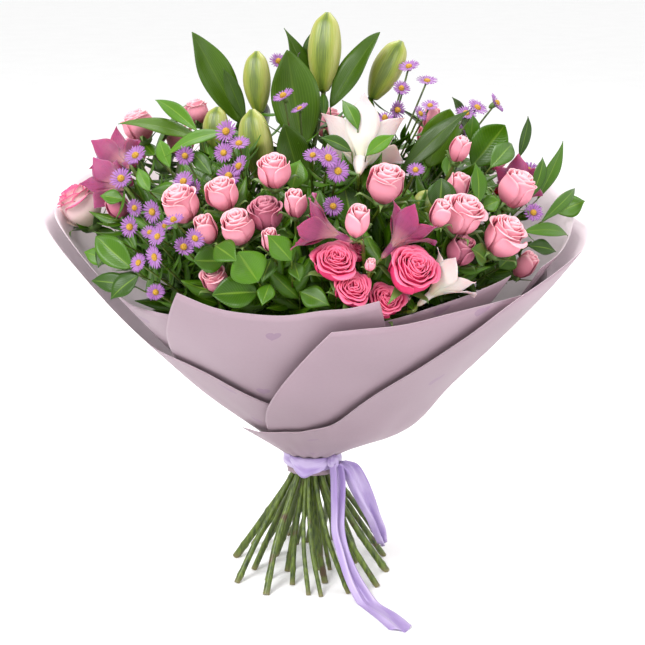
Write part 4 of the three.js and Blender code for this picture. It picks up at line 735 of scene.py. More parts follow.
def back_leaves(turns, low, high, width):
    """Leaves behind the dome, one hanging and one upright at each turn."""
    rows = []
    for turn in turns:
        rows.append((turn - 6, low - 16, turn, low + 12, width, 2))
        rows.append((turn + 8, high + 8, turn + 4, high - 20, width, 8))
    return rows


# What each cut stem carries. A leaf: the pixels of its tip and base, its width and its lift out of
# the dome. A rose bud: pixel, width and lift. An aster: pixel and lift. One number more is a depth
# in place of the dome's, and a lily bud has that and no lift. At the back, a turn and a rise on the
# dome take the place of a pixel.
BUNCHES = dict(
    lily_stem_1=dict(radius=3.4, stems=[dict(
        lily_buds=[
            (328, 11, 323, 92, 30, 34), (257, 50, 259, 113, 25, 20), (252, 108, 263, 181, 30, -34),
        ],
        leaves=[
            (287, 50, 303, 150, 44, 0, -4), (322, 20, 303, 80, 17, 0, 48),
            (284, 28, 318, 112, 20, 0, 40), (284, 124, 304, 196, 30, 0, -52),
        ],
    )]),
    lily_stem_2=dict(radius=3.4, stems=[dict(
        trumpets=["lily_open"],
        lily_buds=[(402, 40, 372, 99, 27, 44), (431, 190, 421, 218, 22, -70)],
        leaves=[
            (380, 32, 330, 108, 25, 0, 24), (452, 97, 468, 135, 16, 0, 40),
            (450, 109, 428, 168, 34, 0, -20), (470, 110, 398, 176, 20, 0, -40),
        ],
    )]),
    lily_stem_3=dict(radius=3.2, stems=[dict(
        lily_buds=[(218, 106, 215, 152, 23, -2)],
        leaves=[
            (192, 32, 241, 124, 32, 0, 30), (223, 68, 246, 124, 15, 0, 16),
            (118, 124, 206, 141, 17, 0, -10),
        ],
    )]),
    rose_stem_1=dict(radius=2.6, stems=[dict(
        heads=["rose_01", "rose_02"],
        leaves=[(96, 236, 131, 268, 24, -4), (91, 281, 136, 287, 18, -6)],
    )]),
    rose_stem_2=dict(radius=2.5, stems=[dict(
        heads=["rose_03", "rose_04"],
        back_buds=[(138, 44, 34, -2)],
        leaves=[
            (155, 100, 198, 132, 15, 2), (165, 157, 228, 132, 15, 6), (138, 168, 150, 192, 12, 4),
        ],
    )]),
    rose_stem_3=dict(radius=2.6, stems=[dict(
        heads=["rose_05", "rose_06", "rose_07"],
        buds=[(206, 231, 24, -4)],
        back_buds=[(168, 44, 32, -2)],
        leaves=[(238, 262, 216, 246, 22, 4)],
    )]),
    rose_stem_4=dict(radius=2.7, stems=[dict(
        heads=["rose_08", "rose_09", "rose_10"],
        buds=[(295, 205, 23, 8), (271, 242, 20, 6)],
        leaves=[(262, 283, 272, 258, 15, -4)],
    )]),
    rose_stem_5=dict(radius=2.6, stems=[dict(
        heads=["rose_11"],
        buds=[(357, 225, 26, 2), (431, 119, 20, -6)],
        back_buds=[(84, 52, 34, -2)],
        leaves=[
            (320, 138, 352, 152, 14, 6), (395, 135, 366, 156, 14, 6), (342, 100, 358, 130, 14, 10),
        ],
    )]),
    rose_stem_6=dict(radius=2.6, stems=[dict(
        heads=["rose_12", "rose_13", "rose_14"],
        buds=[(370, 266, 11, 4)],
        leaves=[(310, 268, 322, 282, 14, 4), (330, 288, 336, 300, 12, -6)],
    )]),
    rose_stem_7=dict(radius=2.6, stems=[dict(
        heads=["rose_15", "rose_16"],
        buds=[(405, 300, 12, -6)],
        leaves=[(388, 248, 384, 270, 14, 2)],
    )]),
    rose_stem_8=dict(radius=2.6, stems=[dict(
        heads=["rose_17", "rose_18"],
        buds=[(457, 190, 26, -16), (437, 217, 22, -8), (459, 151, 22, 0)],
        back_buds=[(46, 46, 34, -2)],
        leaves=[(475, 163, 478, 205, 15, 8), (469, 250, 484, 262, 20, -8)],
    )]),
    rose_stem_9=dict(radius=2.6, stems=[dict(
        heads=["rose_19", "rose_20"],
        buds=[(525, 266, 24, -16)],
        back_buds=[(20, 40, 32, -2)],
        leaves=[(516, 252, 500, 268, 20, -8), (541, 158, 530, 198, 13, -4)],
    )]),
    alstroemeria_stem_1=dict(radius=3, stems=[dict(
        trumpets=["alstroemeria_1", "alstroemeria_2", "alstroemeria_6"],
    )]),
    alstroemeria_stem_2=dict(radius=2.8, stems=[dict(
        trumpets=["alstroemeria_3", "alstroemeria_4"],
        leaves=[(98, 268, 118, 240, 22, -10)],
    )]),
    alstroemeria_stem_3=dict(radius=2.8, stems=[dict(
        trumpets=["alstroemeria_5"],
        leaves=[(585, 201, 556, 213, 22, -2)],
    )]),
    aster_spray_1=dict(radius=1.9, stems=[dict(
        asters=[
            (284, 97, 0, -30), (300, 109, 0, -36), (278, 62, 0, 44), (293, 56, 0, 50),
            (313, 156, 6), (328, 158, 12), (338, 171, 4),
        ],
    ), dict(
        asters=[(227, 132, 8), (239, 144, 2), (224, 153, 0), (240, 167, -4), (228, 176, 0)],
    )]),
    aster_spray_2=dict(radius=1.9, stems=[dict(
        asters=[
            (409, 67, 0, 30), (427, 81, 0, 34), (430, 106, 0, 10), (401, 89, 0, 16),
            (396, 110, 0, 8), (385, 120, 0, 0), (420, 114, 0, 0),
        ],
    ), dict(
        asters=[
            (495, 104, 0, 36), (477, 108, 0, 30), (466, 114, 0, 24), (415, 172, 8), (333, 206, 2),
        ],
    )]),
    aster_spray_3=dict(radius=1.9, stems=[dict(
        asters=[
            (183, 181, 6), (194, 190, -4), (185, 156, 2), (176, 223, 8), (164, 227, 0),
            (183, 248, 8), (196, 240, 0),
        ],
    ), dict(
        asters=[
            (134, 208, 8), (152, 211, 4), (131, 227, 2), (150, 233, 0), (139, 263, 0),
            (155, 257, 2), (156, 293, -6),
        ],
    )]),
    aster_spray_4=dict(radius=1.8, stems=[dict(
        asters=[(103, 160, 0), (125, 150, 2), (137, 157, 0), (124, 181, -2), (160, 238, -10)],
    )]),
    aster_spray_5=dict(radius=1.8, stems=[dict(
        asters=[(533, 213, 2), (528, 172, -4)],
        back_asters=[(30, 48, 4), (40, 36, 4), (22, 30, 4)],
    ), dict(
        back_asters=[(66, 34, 6), (76, 42, 2), (58, 30, 4), (72, 24, 4)],
    )]),
    foliage_5=dict(radius=2.2, stems=[
        dict(back_leaves=back_leaves((44, 62, 80), 22, 50, 26)),
        dict(back_leaves=back_leaves((102, 118, 134), 24, 50, 26)),
    ]),
    foliage_1=dict(radius=2.2, stems=[dict(
        leaves=[
            (238, 252, 258, 282, 32, 8), (212, 295, 258, 292, 28, 0), (262, 306, 270, 284, 15, 0),
            (268, 236, 292, 262, 20, 2), (300, 282, 294, 262, 14, 4), (330, 306, 300, 292, 20, -4),
        ],
    )]),
    foliage_2=dict(radius=2.2, stems=[dict(
        leaves=[
            (100, 196, 124, 200, 14, 2), (84, 252, 112, 262, 16, -10), (112, 300, 140, 276, 20, -8),
            (160, 140, 170, 168, 14, -4), (140, 232, 172, 240, 26, -24),
            (150, 192, 182, 200, 24, -22),
        ],
    )]),
    foliage_3=dict(radius=2.2, stems=[dict(
        leaves=[
            (563, 141, 537, 200, 15, 0, 10), (528, 116, 519, 158, 13, 0, 24),
            (575, 188, 541, 222, 12, 4), (568, 236, 522, 232, 14, -4),
            (556, 252, 528, 246, 15, -10),
        ],
    ), dict(
        leaves=[
            (505, 125, 472, 166, 34, 0, 4), (472, 116, 469, 142, 16, 0, 20),
            (512, 144, 490, 168, 20, 0), (500, 200, 482, 208, 16, 2), (484, 226, 462, 240, 24, -22),
            (440, 180, 438, 214, 26, -22),
        ],
    )]),
    foliage_4=dict(radius=2.2, stems=[dict(
        leaves=[
            (190, 150, 212, 176, 14, -6), (320, 190, 306, 232, 24, -8),
            (420, 232, 440, 246, 20, -8), (300, 160, 292, 190, 22, -10),
            (250, 196, 262, 234, 26, -26), (196, 262, 226, 262, 24, -22),
            (344, 186, 352, 224, 26, -26), (408, 186, 398, 226, 26, -26),
        ],
    )]),
)

FULL_WIDTH = 28  # wider than this a rose is open, narrower a bud
ASTER_DEPTH = 3.4
ASTER_WIDTH = 23
CLEARANCE = 0.35  # between a bloom and its stalk
LEAF_SUNK = -8  # how far a leaf's base lies under its lift, and its tip over it
LEAF_PROUD = 4


def trumpet_spot(name):
    spec = TRUMPETS[name]
    at = at_depth(spec["base"], on_dome(spec["base"])[1] + spec["depth"])
    mouth = at_depth(spec["mouth"], on_dome(spec["mouth"])[1] + spec["depth"])
    return at, unit(mouth - at), spec.get("shape", ALSTROEMERIA)


def leaf_side(root, tip, along):
    out = unit(0.5 * (root + tip) - HEART)
    towards_eye = unit(eye - root)
    return unit(np.cross(along, out + 0.4 * (towards_eye - out)))


def rose_facing(at, tint="light"):
    """Closed roses stand more upright than the wide open ones."""
    return unit(away_from_heart(at) + (0.1 if tint == "hot" else 0.55) * UP)


def carried(stem):
    """What a stem carries: its kind, where its stalk ends, the way it faces and where its tip is."""
    items = []

    def add(kind, root, facing, tip, width=0, **more):
        items.append(dict(kind=kind, root=root, facing=facing, tip=tip, width=width, **more))

    for name in stem.get("heads", []):
        *pixel, width, tint, lift = ROSE_HEADS[name]
        at = on_dome(pixel, lift)
        facing = rose_facing(at, tint)
        add("bloom", at - facing * (0.4 * width + CLEARANCE), facing, at, width)
    for name in stem.get("trumpets", []):
        at, facing, shape = trumpet_spot(name)
        add("bloom", at - facing * (shape["neck"] + CLEARANCE), facing, at)
    for tip_x, tip_y, x, y, width, depth in stem.get("lily_buds", []):
        root, tip = at_depth((x, y), depth), at_depth((tip_x, tip_y), depth + 0.1 * (y - tip_y))
        add("lily_bud", root, unit(tip - root), tip, width)
    buds = [(on_dome(pixel, lift), width) for *pixel, width, lift in stem.get("buds", [])]
    buds += [(on_dome_spot(*spot, lift), width) for *spot, width, lift in stem.get("back_buds", [])]
    for at, width in buds:
        facing, full = rose_facing(at), width > FULL_WIDTH
        root = at - facing * (0.4 if full else 0.6) * width
        add("bud", root, facing, root + facing * (0.8 if full else 1.2) * width, width, full=full)
    asters = [(place((x, y), lift, *depth), 0.9) for x, y, lift, *depth in stem.get("asters", [])]
    asters += [(on_dome_spot(*spot), 0) for spot in stem.get("back_asters", [])]
    for at, turned_to_eye in asters:
        facing = away_from_heart(at)
        if turned_to_eye:
            facing = unit(facing - turned_to_eye * forward)
        add("aster", at - facing * ASTER_DEPTH, facing, at + 2.6 * facing, ASTER_WIDTH)
    leaves = []
    for tip_x, tip_y, x, y, width, lift, *depth in stem.get("leaves", []):
        ends = place((x, y), lift + LEAF_SUNK, *depth), place((tip_x, tip_y), lift + LEAF_PROUD, *depth)
        leaves.append((*ends, width))
    for *tip, turn, rise, width, lift in stem.get("back_leaves", []):
        ends = on_dome_spot(turn, rise, lift + LEAF_SUNK), on_dome_spot(*tip, lift + LEAF_PROUD)
        leaves.append((*ends, width))
    for root, tip, width in leaves:
        add("leaf", root, unit(tip - root), tip, width)
    return items


def corners_of(name):
    """The corners of a frame node, in millimetres, for finding what is nearest to them."""
    corners = np.array([v.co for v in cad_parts[name].data.vertices]) * 1000 + ORIGIN
    tree = KDTree(len(corners))
    for i, corner in enumerate(corners):
        tree.insert(corner, i)
    tree.balance()
    return corners, tree


def feet_of(corners, radius, count):
    """The slots of the stems that end in a node's lowest corners."""
    low = [c[:2] for c in corners if c[2] < 0.05]
    feet = []
    while low and len(feet) < count:
        group = [c for c in low if np.linalg.norm(c - low[0]) < 2.3 * radius]
        feet.append(np.mean(group, axis=0))
        low = [c for c in low if all(c is not g for g in group)]
    swell = math.hypot(1, TIE_HEIGHT * FOOT_SWELL)
    return [turned(foot / swell, -SPIRAL) for foot in feet]


DEPTH_SHIFTS = range(-24, 25, 8)  # how far along the line of sight a solid may have been moved
STALK_RADIUS = dict(bloom=1.5, lily_bud=2.2, bud=1.3, aster=0.9, leaf=0.9)
STALK_NECK = dict(bloom=7, lily_bud=6, bud=0, aster=0, leaf=0)


def piece_name(bunch, part):
    return bunch.replace("_stem", "").replace("rose", "spray_rose") + "_" + part


BRANCHING = 0.62  # where a stem branches, on the way from the heart to what it carries
ASIDE = 0, 6, 12, 18  # how far to the side of that the real branching may be
SPREAD = 64  # length of stem that the stalks leave from, and the most between two of them
APART = 9
FOUND = 1.5  # a tip this near to a corner of the solid has been found
STRAY = 7  # how far each mark may be out where the tip isn't found
BENDS = 7, 14, 22  # how far a stalk may bend round what is in its way

# The frame's solids say where each thing stands. A stem takes the foot and the branching that lie
# nearest to its solid, a bud or a leaf the depth, and a stalk the bend.
plants = {}
for bunch, spec in BUNCHES.items():
    corners, nearest = corners_of(bunch)
    feet = feet_of(corners, spec["radius"], len(spec["stems"]))
    plants[bunch] = []
    for own in spec["stems"]:
        items = carried(own)
        wanted = HEART + BRANCHING * (np.mean([item["root"] for item in items], axis=0) - HEART)
        choices = []
        for slot in feet:
            for shift in ASIDE:
                for angle in EIGHT_WAYS[: 8 if shift else 1]:
                    aside = np.array([shift * math.cos(angle), shift * math.sin(angle), 0])
                    path = stem_path(slot, wanted + aside)
                    seen = path[-1], path[-2], path[1]
                    off = sum(abs(nearest.find(p)[2] - spec["radius"]) for p in seen)
                    choices.append((off + 0.01 * shift, len(choices), path))
        path = min(choices)[2]
        step = min(APART, SPREAD / len(items))
        for i, item in enumerate(items):
            if item["kind"] != "bloom":
                marks = [item["tip"], item["root"]]
                if item["kind"] == "bud":
                    side = unit(np.cross(item["facing"], [1, 0, 0.2]))
                    girth = [side, -side, np.cross(item["facing"], side), np.cross(side, item["facing"])]
                    marks += [0.5 * (marks[0] + marks[1]) + 0.45 * item["width"] * way for way in girth]
                off = {s: [nearest.find(mark + s * forward)[2] for mark in marks] for s in DEPTH_SHIFTS}
                shift = min(off, key=lambda s: (off[s][0] > FOUND, sum(off[s]) + 0.02 * abs(s), s))
                allowed = min(STRAY * len(marks), sum(off[0]) - 1)
                if off[shift][0] > FOUND and sum(off[shift]) >= allowed:
                    shift = 0
                item["root"], item["tip"] = (item[end] + shift * forward for end in ("root", "tip"))
            start = along_path(path, 2 + i * step)
            neck = item["root"] - item["facing"] * STALK_NECK[item["kind"]]
            along = unit(neck - start)
            across = unit(np.cross(along, [1, 0, 0.2]))
            above = np.cross(along, across)
            middle = 0.5 * (start + neck)
            best = (1.8 * STALK_RADIUS[item["kind"]], 0, middle)
            for bend in BENDS:
                for k, angle in enumerate(EIGHT_WAYS):
                    there = middle + bend * (math.cos(angle) * across + math.sin(angle) * above)
                    best = min(best, (nearest.find(there)[2], 10 * bend + k, there))
            straight = [neck] if STALK_NECK[item["kind"]] else []
            item["stalk"] = [start, best[2], *straight, item["root"]]
        plants[bunch].append(dict(path=path, radius=spec["radius"], items=items))


def finer(path, step):
    """A smooth line through the points of a path, with a point about every step."""
    length = sum(np.linalg.norm(np.diff(path, axis=0), axis=1))
    return smooth_rows(path, max(4, round(length / step)))


rng = np.random.default_rng(7)
for bunch, stems in plants.items():
    paths = []
    for stem in stems:
        line = finer(stem["path"], 3.5)
        height = np.cumsum(np.linalg.norm(np.diff(line, axis=0, prepend=line[:1]), axis=1))
        joints = rng.uniform(8, 30) + rng.uniform(30, 46) * np.arange(12)
        swell = np.exp(-(((height[:, None] - joints) / 2.2) ** 2)).sum(1)
        paths.append((line, stem["radius"] * (1.16 + 0.22 * swell) * (1 - 0.4 * height / height[-1])))
        for item in stem["items"]:
            line = finer(item["stalk"], 4)
            share = np.linspace(0, 1, len(line))
            end = 1.0 if item["kind"] != "leaf" else 0.7
            paths.append((line, STALK_RADIUS[item["kind"]] * (1.05 + (end - 1.05) * share)))
    mesh = skeleton_mesh(bunch, paths)
    name = piece_name(bunch, "stems")
    grown(name, mesh, sweep, {"Sides": 9, "Bark": bark}, [bunch])

# ---- Leaves ----
# Long lily leaves with veins along them, and broader glossy leaves with a midrib and side veins.
# Smaller leaves of the same kind grow along the stalks and fill the inside of the bouquet.


def within_paper(grid):
    """Points at the back drawn in to the paper's inside where they would be outside it."""
    flat = grid.reshape(-1, 3)
    turn = np.degrees(np.arctan2(flat[:, 1], flat[:, 0]))
    wall = paper_point(turn[:, None], np.linspace(0, 1, 24)[None], 0, -2, 0)
    reach = np.hypot(wall[..., 0], wall[..., 1])
    limit = np.array([np.interp(z, w[:, 2], r, right=999) for z, w, r in zip(flat[:, 2], wall, reach)])
    inwards = np.where(flat[:, 1] > 40, np.minimum(1, limit / np.hypot(flat[:, 0], flat[:, 1])), 1)
    return (flat * np.stack([inwards, inwards, 1 + 0 * inwards], 1)).reshape(grid.shape)


LEAF_BOW = 0.1  # how far a leaf arches, as a share of its length
SLIM_LEAF = 24  # narrower than this a leaf is pointed and flatter


def leaf_blade(root, tip, width, tone, wave):
    length = np.linalg.norm(tip - root)
    middle = 0.5 * (root + tip)
    crown = middle + unit(middle - HEART) * 2 * LEAF_BOW * length
    t = np.linspace(0, 1, 21)[:, None]
    spine = (1 - t) ** 2 * root + 2 * t * (1 - t) * crown + t * t * tip
    along = 2 * (1 - t) * (crown - root) + 2 * t * (tip - crown)
    along /= np.linalg.norm(along, axis=1, keepdims=True)
    side = np.array([leaf_side(root, tip, way) for way in along])
    face = np.cross(side, along)
    slim = width < SLIM_LEAF
    half = 0.5 * width * (0.02 + 0.98 * np.sin(math.pi * t**0.82) ** (1.3 if slim else 0.92))
    across = np.linspace(-1, 1, 7)[None, :, None]
    ripple = 2 * wave * np.sin(9 * t + 6 * tone)[:, None] * across * half[:, None]
    twist = 8 * wave * (t - 0.35)[:, None] * np.sin(9 * tone) * across * half[:, None]
    fold = -(0.2 if slim else 0.36) * half[:, None] * (1 - np.abs(across))
    grid = spine[:, None] + across * half[:, None] * side[:, None]
    grid = grid + (fold + ripple + twist) * face[:, None]
    return blade(within_paper(grid), 0.7, tone)


def leaf_material(name, dark, bright, rib, side_veins):
    made, tree, skin = new_material(name, Roughness=0.3, Specular_IOR_Level=0.3)
    own, (across, along, tone) = blade_spot(tree)
    aside = calc(tree, "ABSOLUTE", across)
    cloud = noise(tree, object_place(tree), 26, 3)
    lit = calc(tree, "ADD", calc(tree, "MULTIPLY", tone, 0.75), calc(tree, "MULTIPLY", cloud, 0.35))
    shade = ramp(tree, lit, [(0.1, dark), (0.85, bright)])
    branching, veined, ribbed = (4, 0.12, 0.6) if side_veins > 0.5 else (9, 0.3, 0.25)
    phase = calc(tree, "MULTIPLY", along, 17 * side_veins)
    phase = calc(tree, "SUBTRACT", phase, calc(tree, "MULTIPLY", aside, branching))
    wave = calc(tree, "COSINE", calc(tree, "MULTIPLY", phase, 3.14))
    vein = calc(tree, "POWER", calc(tree, "ABSOLUTE", wave), 10)
    middle = ramp(tree, aside, [(0.03, ON), (0.1, OFF)])
    shade = mix(tree, calc(tree, "MULTIPLY", vein, veined), shade, rib)
    shade = mix(tree, calc(tree, "MULTIPLY", middle, ribbed), shade, rib)
    height = calc(tree, "ADD", calc(tree, "MULTIPLY", vein, -0.5), calc(tree, "MULTIPLY", middle, -1))
    paint(tree, skin, shade, height, 0.35, 0.0005)
    return made


broad_leaf = leaf_material(
    "leaf_broad", colour(20, 52, 6), colour(92, 148, 10), colour(138, 176, 52), side_veins=1
)
long_leaf = leaf_material(
    "leaf_long", colour(22, 52, 8), colour(90, 132, 14), colour(122, 156, 50), side_veins=0.02
)

for bunch, stems in plants.items():
    parts = []
    for stem in stems:
        for item in stem["items"]:
            if item["kind"] == "leaf":
                tone = rng.uniform(0.05, 0.85)
                wave = 0.06 if bunch.startswith("lily") else 0.035
                parts.append(leaf_blade(item["root"], item["tip"], item["width"], tone, wave))
    if parts:
        name = piece_name(bunch, "leaves")
        kind = long_leaf if bunch.startswith("lily") else broad_leaf
        piece_of(name, parts, kind, [bunch])

scatter, given = new_tree(
    "heads_on_points",
    [("Points", "NodeSocketGeometry"), ("Head", "NodeSocketObject"), ("Skin", "NodeSocketMaterial")],
)
turn = node(scatter, "GeometryNodeInputNamedAttribute", {0: "turn"}, data_type="FLOAT_VECTOR").outputs[0]
size = node(scatter, "GeometryNodeInputNamedAttribute", {0: "size"}, data_type="FLOAT_VECTOR").outputs[0]
head = node(scatter, "GeometryNodeObjectInfo", {"Object": given["Head"]}, transform_space="ORIGINAL")
rotation = node(scatter, "FunctionNodeEulerToRotation", {0: turn}).outputs[0]
inputs = {"Points": given["Points"], "Instance": head.outputs["Geometry"]}
inputs.update({"Rotation": rotation, "Scale": size})
heads = node(scatter, "GeometryNodeInstanceOnPoints", inputs)
real = node(scatter, "GeometryNodeRealizeInstances", {0: heads.outputs[0]})
done = node(scatter, "GeometryNodeSetMaterial", {0: real.outputs[0], "Material": given["Skin"]})
node(scatter, "NodeGroupOutput", {0: done.outputs[0]})


def frame_at(at, axis, hint):
    along = unit(axis)
    side = unit(hint - (hint @ along) * along)
    return at, side, np.cross(along, side), along


def points_mesh(name, spots):
    """Points with the turn and size of what stands on them: spots of (at, side, axis, size)."""
    mesh = bpy.data.meshes.new(name)
    mesh.from_pydata([((at - ORIGIN) / 1000).tolist() for at, *_ in spots], [], [])
    turns, sizes = [], []
    for _, side, axis, size in spots:
        _, side, across, axis = frame_at(None, axis, side)
        turns.extend(Matrix(np.stack([side, across, axis], 1).tolist()).to_euler())
        sizes.extend(size)
    mesh.attributes.new("turn", "FLOAT_VECTOR", "POINT").data.foreach_set("vector", turns)
    mesh.attributes.new("size", "FLOAT_VECTOR", "POINT").data.foreach_set("vector", sizes)
    return mesh


def pattern(name, parts):
    """A shape to be repeated, made round the origin. It isn't shown itself."""
    return new_object(name, mesh_of(name, [(p + ORIGIN, *rest) for p, *rest in parts], None))


t = np.linspace(0, 1, 7)[:, None]
across = np.linspace(-1, 1, 5)[None]
half = 0.21 * (0.03 + 0.97 * np.sin(math.pi * t**0.8) ** 1.2)
arch = 0.12 * np.sin(math.pi * t)
leaflet = np.stack([across * half, arch - 0.25 * half * (1 - np.abs(across)) + 0 * t, t + 0 * across], 2)
leaflet = pattern("leaflet", [blade(leaflet, 0.02, 0.5)])


def inside_wrap(point):
    """Whether a point is well inside the paper, or above its rim and inside the dome."""
    turn = math.atan2(point[1], point[0])
    shares = np.linspace(0, 1, 30)
    wall = paper_point(np.full(30, math.degrees(turn)), shares, 0, -5, 0)
    in_dome = np.linalg.norm((point - [0, 0, DOME_HEIGHT]) / (DOME - 4)) < 1 or point[2] < DOME_HEIGHT
    limit = np.interp(point[2], wall[:, 2], np.hypot(wall[:, 0], wall[:, 1]))
    return in_dome and (point[2] > wall[-1, 2] or math.hypot(*point[:2]) < limit)


rng = np.random.default_rng(11)
for bunch, stems in plants.items():
    spots = []
    fuller = 1.3 if bunch.startswith("foliage") else 1
    for stem in stems:
        lines = [(finer(stem["path"], 4)[-40:], 6, 1.15)]
        for item in stem["items"]:
            lines.append((finer(item["stalk"], 4), 2, 0.8 if item["kind"] == "aster" else fuller))
        for line, skip, large in lines:
            for i in range(2, len(line) - 3, skip):
                along = unit(line[i + 1] - line[i])
                around = unit(np.cross(along, rng.normal(size=3)))
                axis = unit(0.75 * along + around)
                length = large * rng.uniform(24, 42)
                if inside_wrap(line[i] + axis * length):
                    broad = length * rng.uniform(0.6, 1.1) * (0.7 if large < 1 else 1)
                    side = np.cross(axis, away_from_heart(line[i]))
                    spots.append((line[i], side, axis, (broad, broad, length)))
    mesh = points_mesh(bunch, spots)
    name = piece_name(bunch, "leaflets")
    grown(name, mesh, scatter, {"Head": leaflet, "Skin": broad_leaf}, [bunch])
bpy.data.objects.remove(leaflet)

# ---- Spray roses ----
# Each head is a spiral of petals round a closed heart, the outer ones rolled back at the rim, on a
# green hip with five sepals. Buds are the same flower with fewer petals, wrapped shut.


def in_frame(base, local):
    at, side, across, axis = base
    return at + local[..., :1] * side + local[..., 1:2] * across + local[..., 2:3] * axis


def turned_grid(out, aside, z, turn):
    """A petal's points from how far out, aside and up they are, turned round its flower's axis."""
    x, y = out * math.cos(turn) - aside * math.sin(turn), out * math.sin(turn) + aside * math.cos(turn)
    return np.stack([x, y, z + 0 * aside], 2)


def rose_petals(at, axis, width, height, count, shut, rng):
    base = frame_at(at, axis, rng.normal(size=3))
    r = 0.44 * width
    v = np.linspace(0, 1, 12)[:, None]
    u = np.linspace(-1, 1, 11)[None]
    petals = []
    for k in range(count):
        t = k / (count - 1)
        turn = 2.4 * k + rng.uniform(-0.25, 0.25)
        belly = r * (0.13 + 0.82 * t**0.8) * rng.uniform(0.96, 1.03)
        top = height * (0.5 - 0.2 * t**2 * (1 - 0.7 * shut)) * rng.uniform(0.95, 1.02)
        span = 1.9 + (1.0 - 1.9) * t**0.7
        open_way = t**1.5 * (1 - shut) * rng.uniform(0.8, 1.2)
        low = r * (0.06 + 0.12 * t)
        point = 1 - (0.1 + 0.1 * t) * np.abs(u) ** 2.6
        rise = v * (1 + (point - 1) * v) + 0.01 * np.sin(3 * u + 5 * turn) * v
        swell = np.sin(0.5 * math.pi * np.minimum(rise / 0.55, 1)) ** 0.8
        drawn_in = 1 - (0.3 - 0.24 * open_way) * np.maximum(0, (rise - 0.5) / 0.5) ** 1.8
        lip = np.maximum(0, (rise - 0.78) / 0.22)
        rolled = 1 + 0.5 * np.abs(u) ** 3
        radius = (low + (belly - low) * swell) * drawn_in + r * (0.07 + 0.26 * open_way) * rolled * lip**2
        radius = radius + 0.06 * r * u * (0.2 + rise)
        if count > 30:
            radius = radius + 0.045 * r * np.sin(5 * u + 7 * turn) * rise
            radius = radius + 0.05 * r * np.sin(2.5 * u * span + k) * rise
        angle = turn + span * u * (0.5 + 0.5 * np.sin(math.pi * (0.12 + 0.62 * v)))
        z = -0.42 * height + (top + 0.42 * height) * rise - height * 0.13 * open_way * rolled * lip**3
        local = np.stack([radius * np.cos(angle), radius * np.sin(angle), z + 0 * u], 2)
        petals.append(blade(in_frame(base, local), 0.34, t, rim=0.5))
    return petals


def rose_hip(at, axis, width, height, rng):
    base = frame_at(at, axis, rng.normal(size=3))
    a = circle(12)
    hip = []
    for r, z in ((0.06, -0.53), (0.15, -0.5), (0.21, -0.44), (0.22, -0.38), (0.16, -0.33)):
        hip.append(in_frame(base, ring_of(a, r * width, z * height)))
    parts = [round_form(hip)]
    t = np.linspace(0, 1, 8)[:, None]
    u = np.linspace(-1, 1, 5)[None]
    for k in range(5):
        turn = k * 2 * math.pi / 5
        open_way = rng.uniform(0.7, 1.3)
        spread = np.sin(0.5 * math.pi * np.minimum(1.4 * t, 1))
        radius = width * (0.14 + 0.34 * spread + 0.16 * open_way * t**3)
        z = height * (-0.42 + 0.42 * t - 0.3 * open_way * t**4)
        half = 0.1 * width * (1 - t) ** 0.8 + 0.1
        local = turned_grid(radius, u * half, z, turn)
        parts.append(blade(in_frame(base, local), 0.5, rng.uniform(0.3, 0.8)))
    return parts


def petal_material(name, heart, body, rim):
    made, tree, skin = new_material(
        name,
        Roughness=0.6,
        Specular_IOR_Level=0.2,
        Subsurface_Weight=0.2,
        Subsurface_Radius=(1, 0.5, 0.6),
        Subsurface_Scale=0.003,
    )
    own, (across, along, tone) = blade_spot(tree)
    vein = noise(tree, own, 4, 3, (9, 0.8, 1))
    cloud = noise(tree, object_place(tree), 90, 2)
    # Along each petal the colour runs from its base to its rim. For the pink tints the base is deeper
    # than the body: partly the rose's own deeper centre, partly painted shade deep inside the bloom.
    shade = ramp(tree, along, [(0.15, heart), (0.6, body), (0.86, body), (0.99, rim)])
    shade = mix(tree, calc(tree, "MULTIPLY", vein, 0.1), shade, heart)
    shade = mix(tree, calc(tree, "MULTIPLY", cloud, 0.15), shade, rim)
    paint(tree, skin, shade, vein, 0.25, 0.0004)
    return made


ROSE_SKINS = {}
# Each tint: colour at the petal's base, its body and its rim. The deeper base of the pink tints is partly
# painted shade inside the bloom.
for tint, heart, body, rim in (
    ("pale", (262, 250, 216), (290, 250, 250), (262, 80, 150)),
    ("light", (250, 120, 150), (284, 178, 200), (300, 232, 240)),
    ("dusky", (190, 84, 116), (232, 128, 158), (262, 176, 196)),
    ("hot", (215, 16, 84), (272, 64, 130), (298, 152, 190)),
):
    ROSE_SKINS[tint] = petal_material("petal_" + tint, colour(*heart), colour(*body), colour(*rim))
sepal, tree, skin = new_material("sepal", Roughness=0.5)
own, (across, along, tone) = blade_spot(tree)
fuzz = noise(tree, object_place(tree), 300, 2)
shade = ramp(tree, tone, [(0.2, colour(78, 118, 46)), (0.9, colour(140, 172, 84))])
shade = mix(tree, calc(tree, "MULTIPLY", fuzz, 0.3), shade, colour(60, 92, 36))
paint(tree, skin, shade, fuzz, 0.2, 0.0003)

rng = np.random.default_rng(23)
for name, (x, y, width, tint, lift) in ROSE_HEADS.items():
    at = on_dome((x, y), lift)
    hot = tint == "hot"
    height = (0.8 if hot else 1.0) * width
    shut = rng.uniform(0, 0.1) if hot or width > 38 else rng.uniform(0.2, 0.75)
    count = 34 if hot else 15 if width < 34 else 20
    facing = rose_facing(at, tint)
    petals = rose_petals(at, facing, width, height, count, shut, rng)
    piece_of(name.replace("rose", "rose_head"), petals, ROSE_SKINS[tint], [name])
    hip = rose_hip(at, facing, width, height, rng)
    piece_of(name.replace("rose", "rose_hip"), hip, sepal, [name])

